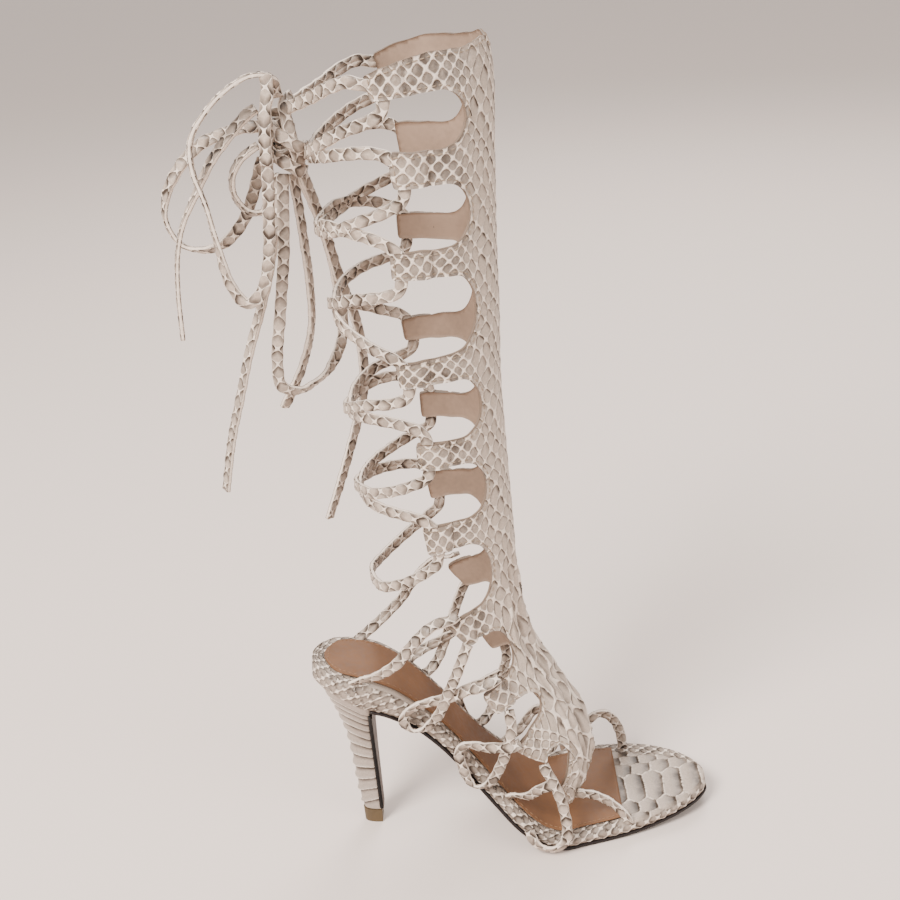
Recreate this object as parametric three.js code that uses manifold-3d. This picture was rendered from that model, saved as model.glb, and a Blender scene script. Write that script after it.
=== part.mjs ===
// A knee-high gladiator sandal for the right foot: a stiletto heel and a covered footbed below,
// and above them one leather upper, a spine down the shin with pairs of lacing tabs.
// A flat lace loops over the rim of the footbed to the lower tabs, crosses behind the calf
// between the upper tabs, and ends in a bow behind the top pair.
// Millimetres. X points to the toe, Y to the wearer's left (the inner side), Z up.
// The origin is the middle of the heel tip, where it meets the floor.
import * as THREE from "three";
import { mergeVertices } from "three/addons/utils/BufferGeometryUtils.js";
import Module from "manifold-3d";

// ---- driving dimensions ----
const GAP = 0.3; // between pieces that touch
const FOREFOOT_HEIGHT = 8.5; // top of the footbed above the floor where the ball rests
const OUTSOLE_THICKNESS = 2.2;
const OUTSOLE_INSET = 1.2;
const SOCK_THICKNESS = 0.9;
const SOCK_INSET = 6;
const TOP_PIECE_HEIGHT = 8.7;
const BREAST_THICKNESS = 1.0;
const BREAST_TOP = 79.5;
const BREAST_MARGIN = 0.6; // of the heel on each side of it
const UPPER_THICKNESS = 1.8;
const UPPER_HEIGHT = 430; // of its level edge above the floor
const PEAK_RISE = 8; // of the first section above the level edge of the upper
const LACE_WIDTH = 6.5;
const LACE_THICKNESS = 2.2;
const LACE_LIFT = 0.4; // of a lace's middle above the outer face of the upper
const CORD_DIAMETER = 5;
const CORD_SIDES = 8;
const KNOT_HALF = [8, 8.5, 17];
const KNOT_MIDDLE = [-4.5, 0, 395];

const degrees = THREE.MathUtils.degToRad;
const V = (x, y, z) => new THREE.Vector3(x, y, z);

// ---- curves through short tables ----
// A monotone cubic through the rows of a table: it never overshoots, and equal rows stay flat.
function curve(rows, along, column) {
  const x = rows.map((row) => row[along]);
  const y = rows.map((row) => row[column]);
  const last = x.length - 1;
  const slope = x.slice(1).map((next, i) => (y[i + 1] - y[i]) / (next - x[i]));
  const tangent = x.map((_, i) => {
    if (i === 0) return slope[0];
    if (i === last) return slope[last - 1];
    if (slope[i - 1] * slope[i] <= 0) return 0; // a peak or a level stretch
    const before = x[i] - x[i - 1];
    const after = x[i + 1] - x[i];
    const a = 2 * after + before;
    const b = after + 2 * before;
    return (a + b) / (a / slope[i - 1] + b / slope[i]);
  });
  return (at) => {
    const clamped = Math.min(Math.max(at, x[0]), x[last]);
    let i = 0;
    while (i < last - 1 && clamped > x[i + 1]) i += 1;
    const step = x[i + 1] - x[i];
    const t = (clamped - x[i]) / step;
    const u = 1 - t;
    return (
      y[i] * (1 + 2 * t) * u * u +
      step * tangent[i] * t * u * u +
      y[i + 1] * t * t * (3 - 2 * t) -
      step * tangent[i + 1] * t * t * u
    );
  };
}

// ---- solids ----
const geometryOf = (numbers, index) =>
  new THREE.BufferGeometry()
    .setAttribute("position", new THREE.Float32BufferAttribute(numbers, 3))
    .setIndex(index);
const numbersOf = (points) => points.flatMap((p) => p.toArray());

// A closed solid through rings of equal count. Point k of a ring faces point (count - 1 - k)
// across the section, so each end is capped by a strip that keeps the section's own curve.
function loft(rings) {
  const count = rings[0].length;
  const index = [];
  const quad = (a, b, c, d) => index.push(a, b, c, a, c, d);
  for (let r = 0; r < rings.length - 1; r += 1) {
    for (let k = 0; k < count; k += 1) {
      const next = (k + 1) % count;
      quad(r * count + k, r * count + next, (r + 1) * count + next, (r + 1) * count + k);
    }
  }
  const end = (rings.length - 1) * count;
  for (let k = 0; k < count / 2 - 1; k += 1) {
    const across = count - 1 - k;
    quad(k, across, across - 1, k + 1);
    quad(end + k, end + k + 1, end + across - 1, end + across);
  }
  return faceOut(geometryOf(numbersOf(rings.flat()), index));
}

// Turns every face round when the solid came out inside out.
function faceOut(geometry) {
  const p = geometry.getAttribute("position");
  const at = (i) => new THREE.Vector3().fromBufferAttribute(p, i);
  const index = [...geometry.index.array];
  let volume = 0;
  for (let i = 0; i < index.length; i += 3) {
    volume += at(index[i]).dot(at(index[i + 1]).cross(at(index[i + 2])));
  }
  if (volume < 0) index.reverse();
  return geometry.setIndex(index);
}

const wasm = await Module();
wasm.setup();

function solidOf(geometry) {
  const bare = geometry.clone();
  bare.deleteAttribute("normal");
  bare.deleteAttribute("uv");
  const merged = mergeVertices(bare, 1e-4);
  return new wasm.Manifold(
    new wasm.Mesh({
      numProp: 3,
      vertProperties: merged.getAttribute("position").array,
      triVerts: new Uint32Array(merged.index.array),
    }),
  );
}

function joined(geometries) {
  const made = geometries.map(solidOf).reduce((all, next) => all.add(next)).getMesh();
  return geometryOf(made.vertProperties, [...made.triVerts]);
}

// ---- finishes ----
const leather = (color, roughness) => new THREE.MeshStandardMaterial({ color, roughness, metalness: 0 });
const scaledLeather = leather("#cfc7bd", 0.55);
const laceLeather = leather("#c9c0b5", 0.6);
const sockLeather = leather("#a37a5c", 0.7);
const soleLeather = leather("#3a2620", 0.6);
const breastLeather = leather("#7d6a62", 0.65);
const topPieceRubber = leather("#8a6a3c", 0.5);

const sandal = new THREE.Group();
function add(name, geometry, material) {
  const mesh = new THREE.Mesh(geometry, material);
  mesh.name = name;
  sandal.add(mesh);
}

// ---- footbed line: a row for each station from the back of the heel to the toe ----
// top is the height of the footbed, outer and inner its half widths, deep its thickness.
const footbedRows = [
  { x: -22.5, top: 113.5, outer: 4, inner: 4, deep: 9 },
  { x: -21, top: 113.3, outer: 9.5, inner: 9.5, deep: 9 },
  { x: -17, top: 112.7, outer: 15.5, inner: 15.5, deep: 9.2 },
  { x: -11, top: 111.6, outer: 20.5, inner: 20.5, deep: 10 },
  { x: -2, top: 109.4, outer: 24, inner: 24, deep: 12 },
  { x: 10, top: 105.4, outer: 25, inner: 25, deep: 14.5 },
  { x: 20, top: 99.6, outer: 24, inner: 24.3, deep: 13 },
  { x: 30, top: 90.6, outer: 22.4, inner: 23, deep: 10.5 },
  { x: 40, top: 80, outer: 21.3, inner: 21.5, deep: 8 },
  { x: 52, top: 65, outer: 21, inner: 20.5, deep: 6.8 },
  { x: 66, top: 45.5, outer: 24, inner: 22.5, deep: 6.2 },
  { x: 78, top: 30, outer: 29, inner: 27, deep: 6 },
  { x: 90, top: 17.4, outer: 35.3, inner: 32.5, deep: 6 },
  { x: 100, top: 10.8, outer: 38.6, inner: 37, deep: 6 },
  { x: 108, top: FOREFOOT_HEIGHT, outer: 39, inner: 40, deep: 6 },
  { x: 122, top: FOREFOOT_HEIGHT, outer: 36, inner: 43.4, deep: 6 },
  { x: 134, top: FOREFOOT_HEIGHT, outer: 33, inner: 44.6, deep: 6 },
  { x: 148, top: 9.3, outer: 29.2, inner: 43.4, deep: 6 },
  { x: 163, top: 11, outer: 24, inner: 38.8, deep: 6 },
  { x: 175, top: 12.9, outer: 18.6, inner: 31, deep: 6 },
  { x: 183, top: 14.4, outer: 13.4, inner: 23, deep: 6 },
  { x: 188, top: 15.4, outer: 8.4, inner: 15.5, deep: 6 },
  { x: 191, top: 16, outer: 3.5, inner: 9.5, deep: 6 },
  { x: 192, top: 16.2, outer: 0, inner: 6, deep: 6 },
];
const bed = Object.fromEntries(
  ["top", "outer", "inner", "deep"].map((name) => [name, curve(footbedRows, "x", name)]),
);

// A point at a distance below the footbed's top, square to its slope.
function onSole(x, y, below) {
  const slope = bed.top(x + 0.5) - bed.top(x - 0.5);
  const length = Math.hypot(1, slope);
  return V(x + (slope / length) * below, y, bed.top(x) - below / length);
}

// Cross sections of a layer of the sole. Each goes over the top from the outer to the inner edge,
// and back underneath. round is how far the top edge is rounded.
const acrossShares = [-1, -0.93, -0.6, 0, 0.6, 0.93, 1];
const LEAST_HALF = 0.6; // half width where a layer comes to its end
function layer(stations, { inset, over, under, round }) {
  return loft(
    stations.map((x) => {
      const outer = Math.max(bed.outer(x) - inset, LEAST_HALF);
      const inner = Math.max(bed.inner(x) - inset, LEAST_HALF);
      const across = acrossShares.map((share) => (share < 0 ? share * outer : share * inner));
      const drop = acrossShares.map((share) => (Math.abs(share) === 1 ? round : 0));
      const top = across.map((y, k) => onSole(x, y, over(x) + drop[k]));
      const bottom = across.map((y) => onSole(x, y, under(x)));
      return [...top, ...bottom.reverse()];
    }),
  );
}

const stationsAll = footbedRows.map((row) => row.x);
const finer = stationsAll.flatMap((x, i) =>
  i > 0 && x - stationsAll[i - 1] > 6 ? [(x + stationsAll[i - 1]) / 2, x] : [x],
);
const FOOTBED_FRONT = stationsAll.at(-1);
const OUTSOLE_BACK = 16.4; // on the footbed's top: square below it is the heel's front face

add(
  "footbed",
  layer(finer, { inset: 0, over: () => 0, under: (x) => bed.deep(x), round: 1.6 }),
  scaledLeather,
);
add(
  "outsole",
  layer([OUTSOLE_BACK, ...finer.filter((x) => x > OUTSOLE_BACK && x < FOOTBED_FRONT)], {
    inset: OUTSOLE_INSET,
    over: (x) => bed.deep(x) + GAP,
    under: (x) => bed.deep(x) + OUTSOLE_THICKNESS,
    round: 0,
  }),
  soleLeather,
);
const SOCK_BACK = -16;
const SOCK_FRONT = 143;
const sockStations = [
  ...[SOCK_BACK, -15, -12.5],
  ...finer.filter((x) => x > -10 && x < 139),
  ...[139, 141.5, SOCK_FRONT - 0.6, SOCK_FRONT],
];
add(
  "insole",
  layer(sockStations, {
    inset: SOCK_INSET,
    over: () => -GAP - SOCK_THICKNESS,
    under: () => -GAP,
    round: 0.3,
  }),
  sockLeather,
);

// ---- heel: D-shaped rings from the top piece up to the seat ----
// The upper rings hang a drop below the footbed's underside, the lower ones lie at a height z.
const heelRings = [
  { z: TOP_PIECE_HEIGHT + GAP, back: -4.6, front: 5.6, half: 4.9 },
  { z: 22, back: -6.2, front: 5.6, half: 5.6 },
  { z: 46, back: -7.4, front: 5.5, half: 7.2 },
  { z: 62, back: -8.8, front: 5.6, half: 9.4 },
  { z: 73, back: -11, front: 6, half: 13 },
  { drop: 9.5, back: -17.6, front: 6.6, half: 18 },
  { drop: 4, back: -20.6, front: 7.2, half: 22 },
  { drop: 2 * GAP, back: -21.6, front: 7.6, half: 23.6 },
];
const HEEL_POINTS = 18;
const HEEL_SQUARENESS = 0.86; // 1 makes half an ellipse
const undersideRows = finer.map((x) => onSole(x, 0, bed.deep(x)));
const seatUnderside = curve(undersideRows, "x", "z");
function heelRing({ z, drop, back, front, half }) {
  return Array.from({ length: HEEL_POINTS }, (_, k) => {
    const angle = (Math.PI * k) / (HEEL_POINTS - 1);
    const x = front - (front - back) * Math.sin(angle) ** HEEL_SQUARENESS;
    const side = Math.cos(angle);
    const y = -half * Math.sign(side) * Math.abs(side) ** HEEL_SQUARENESS;
    return V(x, y, drop === undefined ? z : seatUnderside(x) - drop);
  });
}
add("heel", loft(heelRings.map(heelRing)), scaledLeather);
add(
  "top_piece",
  loft([
    heelRing({ z: 0, back: -4.8, front: 5.6, half: 5 }),
    heelRing({ z: TOP_PIECE_HEIGHT, back: -5, front: 5.9, half: 5.1 }),
  ]),
  topPieceRubber,
);

// The heel's front face has its own strip of sole leather, up to where the outsole begins.
const breastRows = heelRings
  .filter(({ z }) => z !== undefined)
  .map(({ z, front, half }) => ({ z, front, half: half - BREAST_MARGIN }));
breastRows.push({ z: BREAST_TOP, front: 6.5, half: 16 });
add(
  "heel_breast",
  loft(
    breastRows.map(({ z, front, half }) => [
      V(front + GAP, -half, z),
      V(front + GAP + BREAST_THICKNESS, -half, z),
      V(front + GAP + BREAST_THICKNESS, half, z),
      V(front + GAP, half, z),
    ]),
  ),
  breastLeather,
);

// ---- the form of the leg and foot that the upper lies on ----
// A row for each section, from above the top edge down the shin and over the instep.
// x, y, z is the middle of its front, tilt how far the section leans down towards the heel,
// depth half its size from front to back, and half half its width.
const formRows = [
  { x: 94.2, y: 0, z: UPPER_HEIGHT + PEAK_RISE, tilt: 0, depth: 43.5, half: 39.5 },
  { x: 96, y: 0, z: 412, tilt: 0, depth: 43.5, half: 39.5 },
  { x: 94.4, y: 0, z: 380, tilt: 0, depth: 43, half: 39 },
  { x: 92.6, y: 0, z: 330, tilt: 0, depth: 40.8, half: 37 },
  { x: 90.8, y: 0, z: 256, tilt: 0, depth: 38.6, half: 34.5 },
  { x: 91.6, y: 0, z: 200, tilt: 0, depth: 38.4, half: 33 },
  { x: 92.2, y: 0, z: 160, tilt: 4, depth: 38, half: 32 },
  { x: 94, y: 0, z: 137, tilt: 14, depth: 36.5, half: 31.5 },
  { x: 99, y: -0.5, z: 116, tilt: 26, depth: 35, half: 32 },
  { x: 107, y: -1, z: 99, tilt: 33, depth: 34, half: 32.5 },
  { x: 117, y: -1, z: 82, tilt: 36, depth: 33.5, half: 33 },
  { x: 125.5, y: -1.5, z: 64, tilt: 30, depth: 32, half: 33 },
  { x: 129.5, y: -2, z: 46, tilt: 16, depth: 29, half: 31 },
  { x: 128, y: -2.5, z: 29, tilt: 4, depth: 25, half: 28 },
  { x: 125, y: -3, z: 14, tilt: 0, depth: 22, half: 25 },
];
// down is the distance along the front, 0 at the level edge of the upper.
formRows[0].down = -PEAK_RISE;
formRows.slice(1).forEach((row, i) => {
  const above = formRows[i];
  row.down = above.down + Math.hypot(row.x - above.x, row.y - above.y, row.z - above.z);
});
const form = Object.fromEntries(
  ["x", "y", "z", "tilt", "depth", "half"].map((name) => [name, curve(formRows, "down", name)]),
);

// The angle round a section at a distance from the middle of its front.
const ARC_STEP = degrees(2);
function angleAt(down, around) {
  const depth = form.depth(down);
  const half = form.half(down);
  let angle = 0;
  let gone = 0;
  while (angle < Math.PI) {
    const middle = angle + ARC_STEP / 2;
    const step = Math.hypot(depth * Math.sin(middle), half * Math.cos(middle)) * ARC_STEP;
    if (gone + step >= Math.abs(around)) {
      return Math.sign(around) * (angle + (ARC_STEP * (Math.abs(around) - gone)) / step);
    }
    gone += step;
    angle += ARC_STEP;
  }
  return Math.sign(around) * Math.PI;
}

// The place on the form at a distance down its front and around it: inner side positive.
function formPoint(down, around) {
  const angle = angleAt(down, around);
  const tilt = degrees(form.tilt(down));
  const inward = form.depth(down) * (1 - Math.cos(angle));
  return V(
    form.x(down) - Math.cos(tilt) * inward,
    form.y(down) + form.half(down) * Math.sin(angle),
    form.z(down) - Math.sin(tilt) * inward,
  );
}

function formNormal(down, around) {
  const alongDown = formPoint(down + 0.5, around).sub(formPoint(down - 0.5, around));
  const alongAround = formPoint(down, around + 0.5).sub(formPoint(down, around - 0.5));
  return alongAround.cross(alongDown).normalize().negate();
}

// ---- upper: one leather shell, a spine with nine pairs of side tabs and two toe ends ----
// A row for each pair of tabs. top and bottom are its edges at the root, and the tips are the
// corners of its outer end: down the form and around it.
const tabRows = [
  { top: 0, bottom: 16, tipTop: 7.5, tipTopAround: 77.5, tipBottom: 18.3, tipBottomAround: 75.6 },
  { top: 41.5, bottom: 57, tipTop: 40.5, tipTopAround: 69.5, tipBottom: 56.3, tipBottomAround: 67 },
  { top: 86, bottom: 99.5, tipTop: 85.5, tipTopAround: 69.8, tipBottom: 98, tipBottomAround: 69.2 },
  { top: 137, bottom: 150.5, tipTop: 140, tipTopAround: 69.6, tipBottom: 151.6, tipBottomAround: 68 },
  { top: 181.5, bottom: 195, tipTop: 181, tipTopAround: 62.2, tipBottom: 194.6, tipBottomAround: 62 },
  { top: 225, bottom: 239.5, tipTop: 227, tipTopAround: 63, tipBottom: 242, tipBottomAround: 61 },
  { top: 275.4, bottom: 289.4, tipTop: 280, tipTopAround: 56, tipBottom: 291, tipBottomAround: 47.5 },
  { top: 313.7, bottom: 327, tipTop: 315, tipTopAround: 50.6, tipBottom: 325.5, tipBottomAround: 49.8 },
  { top: 342, bottom: 360.6, tipTop: 347, tipTopAround: 54.6, tipBottom: 364.8, tipBottomAround: 45.8 },
];
// A row for each pair of cut-outs below a tab: where its inner end is deepest, how far that is
// from the middle of the spine, and how far out the rounding of the inner end reaches.
const cutoutRows = [
  { middle: 29.5, spine: 32, round: 13 },
  { middle: 72, spine: 30, round: 13 },
  { middle: 117.5, spine: 27.8, round: 13 },
  { middle: 167, spine: 27, round: 13 },
  { middle: 209.6, spine: 27.2, round: 12 },
  { middle: 257.5, spine: 28, round: 12 },
  { middle: 303, spine: 24, round: 11 },
  { middle: 334, spine: 25, round: 11 },
  { middle: 371, spine: 31, round: 8 },
];
// The edge that closes the spine: the top edge with its two low peaks, and the front edge that
// arches over the toes and ends in the two toe tabs. A row for each column of the spine.
const topEdgeRows = [
  { around: 0, down: 4 },
  { around: 6.4, down: 0 },
  { around: 12.8, down: -2.5 },
  { around: 19.2, down: -1.6 },
  { around: 25.6, down: -0.4 },
  { around: 32, down: 0 },
];
const frontEdgeRows = [
  { around: 0, down: 386 },
  { around: 8, down: 389.5 },
  { around: 15.5, down: 397 },
  { around: 22.5, down: 405.5 },
  { around: 30, down: 415.5 },
  { around: 40.5, down: 397 },
];
const TOP_LEVEL_END = 46; // around, where the top edge starts to fall towards the first tab's corner
const SPINE_COLUMNS = 5; // on each side of the middle
const ROUND_COLUMNS = 4; // round the inner end of a cut-out
const TAB_COLUMNS = 3; // along the straight of a tab
const PATCH_ROWS = 5;

// One edge of a patch, from the middle of the spine outwards: [down, around] pairs.
function spineEdge(cutout) {
  return Array.from({ length: SPINE_COLUMNS + 1 }, (_, k) => [
    cutout.middle,
    (cutout.spine * k) / SPINE_COLUMNS,
  ]);
}
function tabEdge(cutout, root, tip, tipAround) {
  const edge = spineEdge(cutout);
  for (let k = 1; k <= ROUND_COLUMNS; k += 1) {
    const angle = (Math.PI / 2) * (k / ROUND_COLUMNS);
    edge.push([
      cutout.middle + (root - cutout.middle) * Math.sin(angle),
      cutout.spine + cutout.round * (1 - Math.cos(angle)),
    ]);
  }
  const rootAround = cutout.spine + cutout.round;
  for (let k = 1; k <= TAB_COLUMNS; k += 1) {
    const share = k / TAB_COLUMNS;
    edge.push([root + (tip - root) * share, rootAround + (tipAround - rootAround) * share]);
  }
  return edge;
}
function topEdge(cutout, tab) {
  const below = tabEdge(cutout, tab.top, tab.tipTop, tab.tipTopAround);
  const crest = topEdgeRows.map(({ around, down }) => [down, around]);
  const outwards = below.slice(crest.length).map(([, around]) => {
    const share = Math.max(around - TOP_LEVEL_END, 0) / (tab.tipTopAround - TOP_LEVEL_END);
    return [tab.tipTop * share ** 1.5, around];
  });
  return [...crest, ...outwards];
}

const patches = tabRows.map((tab, i) => {
  const above = cutoutRows[i - 1];
  const below = cutoutRows[i];
  return [
    above ? tabEdge(above, tab.top, tab.tipTop, tab.tipTopAround) : topEdge(below, tab),
    tabEdge(below, tab.bottom, tab.tipBottom, tab.tipBottomAround),
  ];
});
patches.push([
  spineEdge(cutoutRows.at(-1)),
  frontEdgeRows.map(({ down, around }) => [down, around]),
]);

// The sheet of a patch, mirrored to both sides, then given its thickness.
function shell(allPatches, thickness) {
  const places = [];
  const known = new Map();
  const place = (down, around) => {
    const key = down.toFixed(3) + " " + around.toFixed(3);
    if (!known.has(key)) {
      known.set(key, places.length);
      places.push([down, around]);
    }
    return known.get(key);
  };
  const quads = [];
  for (const [upper, lower] of allPatches) {
    const corner = (side, k, row) => {
      const share = row / PATCH_ROWS;
      const down = upper[k][0] + (lower[k][0] - upper[k][0]) * share;
      const around = upper[k][1] + (lower[k][1] - upper[k][1]) * share;
      return place(down, around === 0 ? 0 : side * around);
    };
    for (let r = 0; r < PATCH_ROWS; r += 1) {
      for (let k = 0; k < upper.length - 1; k += 1) {
        const turn = [[k, r], [k + 1, r], [k + 1, r + 1], [k, r + 1]];
        quads.push(turn.map((at) => corner(1, ...at)));
        quads.push(turn.reverse().map((at) => corner(-1, ...at)));
      }
    }
  }
  const outside = places.map(([down, around]) => formPoint(down, around));
  const inside = places.map(([down, around], i) =>
    outside[i].clone().addScaledVector(formNormal(down, around), -thickness),
  );
  const index = [];
  const count = places.length;
  const used = new Map();
  for (const quad of quads) {
    const [a, b, c, d] = quad;
    index.push(a, b, c, a, c, d);
    index.push(count + c, count + b, count + a, count + d, count + c, count + a);
    quad.forEach((from, k) => {
      const to = quad[(k + 1) % 4];
      used.set(from + " " + to, [from, to]);
    });
  }
  for (const [from, to] of used.values()) {
    if (!used.has(to + " " + from)) {
      index.push(from, count + from, count + to, from, count + to, to);
    }
  }
  return faceOut(geometryOf(numbersOf([...outside, ...inside]), index));
}
add("upper", shell(patches, UPPER_THICKNESS), scaledLeather);

// ---- laces: flat straps of folded leather ----
// A strap along a smooth line, its flat face turned away from the axis of the leg or foot.
function strap(points, axisAt, steps) {
  const line = new THREE.CatmullRomCurve3(points, false, "centripetal");
  const rings = Array.from({ length: steps + 1 }, (_, k) => {
    const at = line.getPointAt(k / steps);
    const along = line.getTangentAt(k / steps);
    const out = at.clone().sub(axisAt(at));
    out.addScaledVector(along, -out.dot(along)).normalize();
    const side = new THREE.Vector3().crossVectors(along, out).multiplyScalar(LACE_WIDTH / 2);
    out.multiplyScalar(LACE_THICKNESS / 2);
    return [
      at.clone().sub(side).sub(out),
      at.clone().add(side).sub(out),
      at.clone().add(side).add(out),
      at.clone().sub(side).add(out),
    ];
  });
  return loft(rings);
}
const legAxis = (at) => {
  const down = UPPER_HEIGHT - at.z;
  return V(form.x(down) - form.depth(down), 0, at.z);
};
const onLeg = (down, around) =>
  formPoint(down, around).addScaledVector(formNormal(down, around), LACE_LIFT);
const BACK = 200; // further around than any section goes: the middle of its back
const mirrored = (points) => points.map((p) => V(p.x, -p.y, p.z));

// A row for each crossing behind the leg, between one pair of tabs and the next: leave goes from
// the lower edge of a tab to the middle of the back, arrive from there to the tab below.
// Each stop is [down, around].
const crossingRows = [
  {
    leave: [[19.3, 70.5], [23.4, 71.5], [27, 78], [31, 90], [38.5, 107], [45, BACK]],
    arrive: [[45, BACK], [43, 105], [40.6, 89], [40.2, 78], [41.8, 71.4]],
  },
  {
    leave: [[58.1, 62.3], [62, 63.5], [66, 70], [72, 86], [78, 103], [81, BACK]],
    arrive: [[78, BACK], [75, 104], [76.2, 89], [79.2, 77], [82.8, 69.8]],
  },
  {
    leave: [[100.2, 65], [103.8, 66.4], [106.4, 74], [108.6, 88], [113, 104], [118, BACK]],
    arrive: [[118, BACK], [122.5, 106], [127, 93], [133, 79.5], [137.2, 69.8]],
  },
  {
    leave: [[153.1, 63.5], [156.8, 65], [159.6, 72], [163, 88], [168, 102], [172.5, BACK]],
    arrive: [[172.5, BACK], [171, 100], [169.4, 86], [169.8, 74], [172.2, 64], [175.8, 58.4], [179.4, 57]],
  },
  {
    leave: [[196.1, 57], [199.8, 58.5], [203, 65], [208, 78], [212, 92], [215, BACK]],
    arrive: [[215, BACK], [217.4, 94], [218.6, 84], [220, 73], [223, 61.6]],
  },
];
const LACE_STEPS = 13; // from one tab to the tab below it on the other side
const BAR_STEPS = 20;
const TIE_STEPS = 7;
crossingRows.forEach(({ leave, arrive }, i) => {
  const outer = leave.map(([down, around]) => onLeg(down, around === BACK ? BACK : -around));
  const inner = arrive.map(([down, around]) => onLeg(down, around));
  // Both laces pass through one place in the middle of the back.
  const middle = onLeg((leave.at(-1)[0] + arrive[0][0]) / 2, BACK);
  const route = [...outer.slice(0, -1), middle, ...inner.slice(1)];
  add(
    "back_crossing_" + (i + 1),
    joined([strap(route, legAxis, LACE_STEPS), strap(mirrored(route), legAxis, LACE_STEPS)]),
    laceLeather,
  );
});

// The lowest lace behind the leg joins the sixth pair of tabs, and the highest goes from the
// first pair to the bow.
const barStops = [[243.3, 56], [247.2, 57.2], [251.6, 63], [258, 75], [263.4, 92], [267, BACK]];
const barHalf = barStops.map(([down, around]) => onLeg(down, around));
add(
  "back_bar",
  strap([...barHalf, ...mirrored(barHalf).reverse().slice(1)], legAxis, BAR_STEPS),
  laceLeather,
);
const tieStops = [[11, 78.8], [9.8, 85], [12.5, 96], [17, 108]];
const tie = tieStops.map(([down, around]) => onLeg(down, around));
tie.push(V(5.4, 8.6, 409));
add("back_tie_inner", strap(tie, legAxis, TIE_STEPS), laceLeather);
add("back_tie_outer", strap(mirrored(tie), legAxis, TIE_STEPS), laceLeather);

// The laces between the lower tabs and the rim of the footbed. Stops are [x, outward y, z].
// The three lower laces of each side hang over the rim in a loop, and come back up.
const FOOT_AXIS_HEIGHT = 25; // above the footbed
const footAxis = (at) => V(at.x, 0, bed.top(at.x) + FOOT_AXIS_HEIGHT);
const sideRows = [
  {
    name: "lace_heel",
    steps: 9,
    routes: [[[57, 34, 150], [47, 36, 148], [33, 35, 134], [27, 34, 126], [16, 30, 116.5], [6, 24, 110.6]]],
  },
  {
    name: "lace_waist",
    steps: 13,
    routes: [
      [
        [62.5, 34.2, 130.6], [60.5, 35, 126], [56.5, 34.6, 116], [51, 32, 102.5], [46, 29.6, 90],
        [41.8, 28, 83.6], [36.4, 27.2, 78.6], [30.4, 26.8, 77.6],
      ],
      [
        [32.4, 26.8, 77.4], [29, 26.8, 78.6], [26.6, 26.8, 81.4], [26.4, 26.8, 86.6], [31.3, 26.8, 92],
        [38.5, 28, 95.6], [46.9, 29.8, 98.6], [54, 31.4, 101.6], [62, 33.6, 106], [70, 35.6, 109],
        [75.5, 35.4, 111.6],
      ],
    ],
  },
  {
    name: "lace_arch",
    steps: 13,
    routes: [
      [
        [83.2, 34.4, 87.6], [83.8, 35.4, 82], [82, 36, 74], [79, 35.2, 64], [75, 33.4, 53], [71, 31.8, 45],
        [66.4, 30.4, 40.4], [61, 29.2, 40],
      ],
      [
        [63, 29.6, 39.8], [60, 29, 41], [57.6, 28.2, 45], [55.4, 27, 52.4], [54, 26, 60],
        [57, 26.2, 65.4], [63, 28, 66.6], [69, 31, 67], [76, 34.6, 69], [83.6, 37.2, 70.6],
      ],
    ],
  },
  {
    name: "lace_ball",
    steps: 13,
    routes: [
      [
        [100.6, 36.6, 53.6], [102.5, 38, 50], [106, 39.6, 42], [109, 40.6, 30], [110, 42, 18],
        [108.8, 42.8, 11], [104, 42.8, 6.6], [97, 42, 6.4], [91.6, 40.6, 10.6], [89.6, 38.8, 16.4],
      ],
      [[82.5, 27.4, 30], [90, 33, 33.5], [97, 36.8, 41], [103, 37, 43.6]],
    ],
  },
];
const sides = [
  { prefix: "outer_", sign: -1 },
  { prefix: "inner_", sign: 1 },
];
for (const { prefix, sign } of sides) {
  for (const { name, steps, routes } of sideRows) {
    const made = routes.map((stops) =>
      strap(stops.map(([x, y, z]) => V(x, sign * y, z)), footAxis, steps),
    );
    add(prefix + name, made.length > 1 ? joined(made) : made[0], laceLeather);
  }
}
// In front, each lace runs from the end of a toe tab to the rim beside the toes.
const toeRows = [
  {
    name: "outer_lace_toe",
    stops: [[120, -26.4, 28.6], [125, -25.4, 27], [132, -25, 23], [139, -26, 17.6], [143.6, -27.9, 12.4]],
  },
  {
    name: "inner_lace_toe",
    stops: [
      [121.5, 22.5, 31], [127, 25, 38], [136, 29.5, 41], [144, 34.5, 33], [148.6, 37.2, 20], [149.4, 37.8, 10.4],
    ],
  },
];
const TOE_STEPS = 8;
for (const { name, stops } of toeRows) {
  add(name, strap(stops.map((at) => V(...at)), footAxis, TOE_STEPS), laceLeather);
}

// ---- bow: a knot behind the top tabs, with loops and ends that hang free ----
const knot = new THREE.SphereGeometry(1, 14, 10);
knot.scale(...KNOT_HALF);
knot.translate(...KNOT_MIDDLE);
add("bow_knot", joined([knot]), laceLeather);

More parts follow.
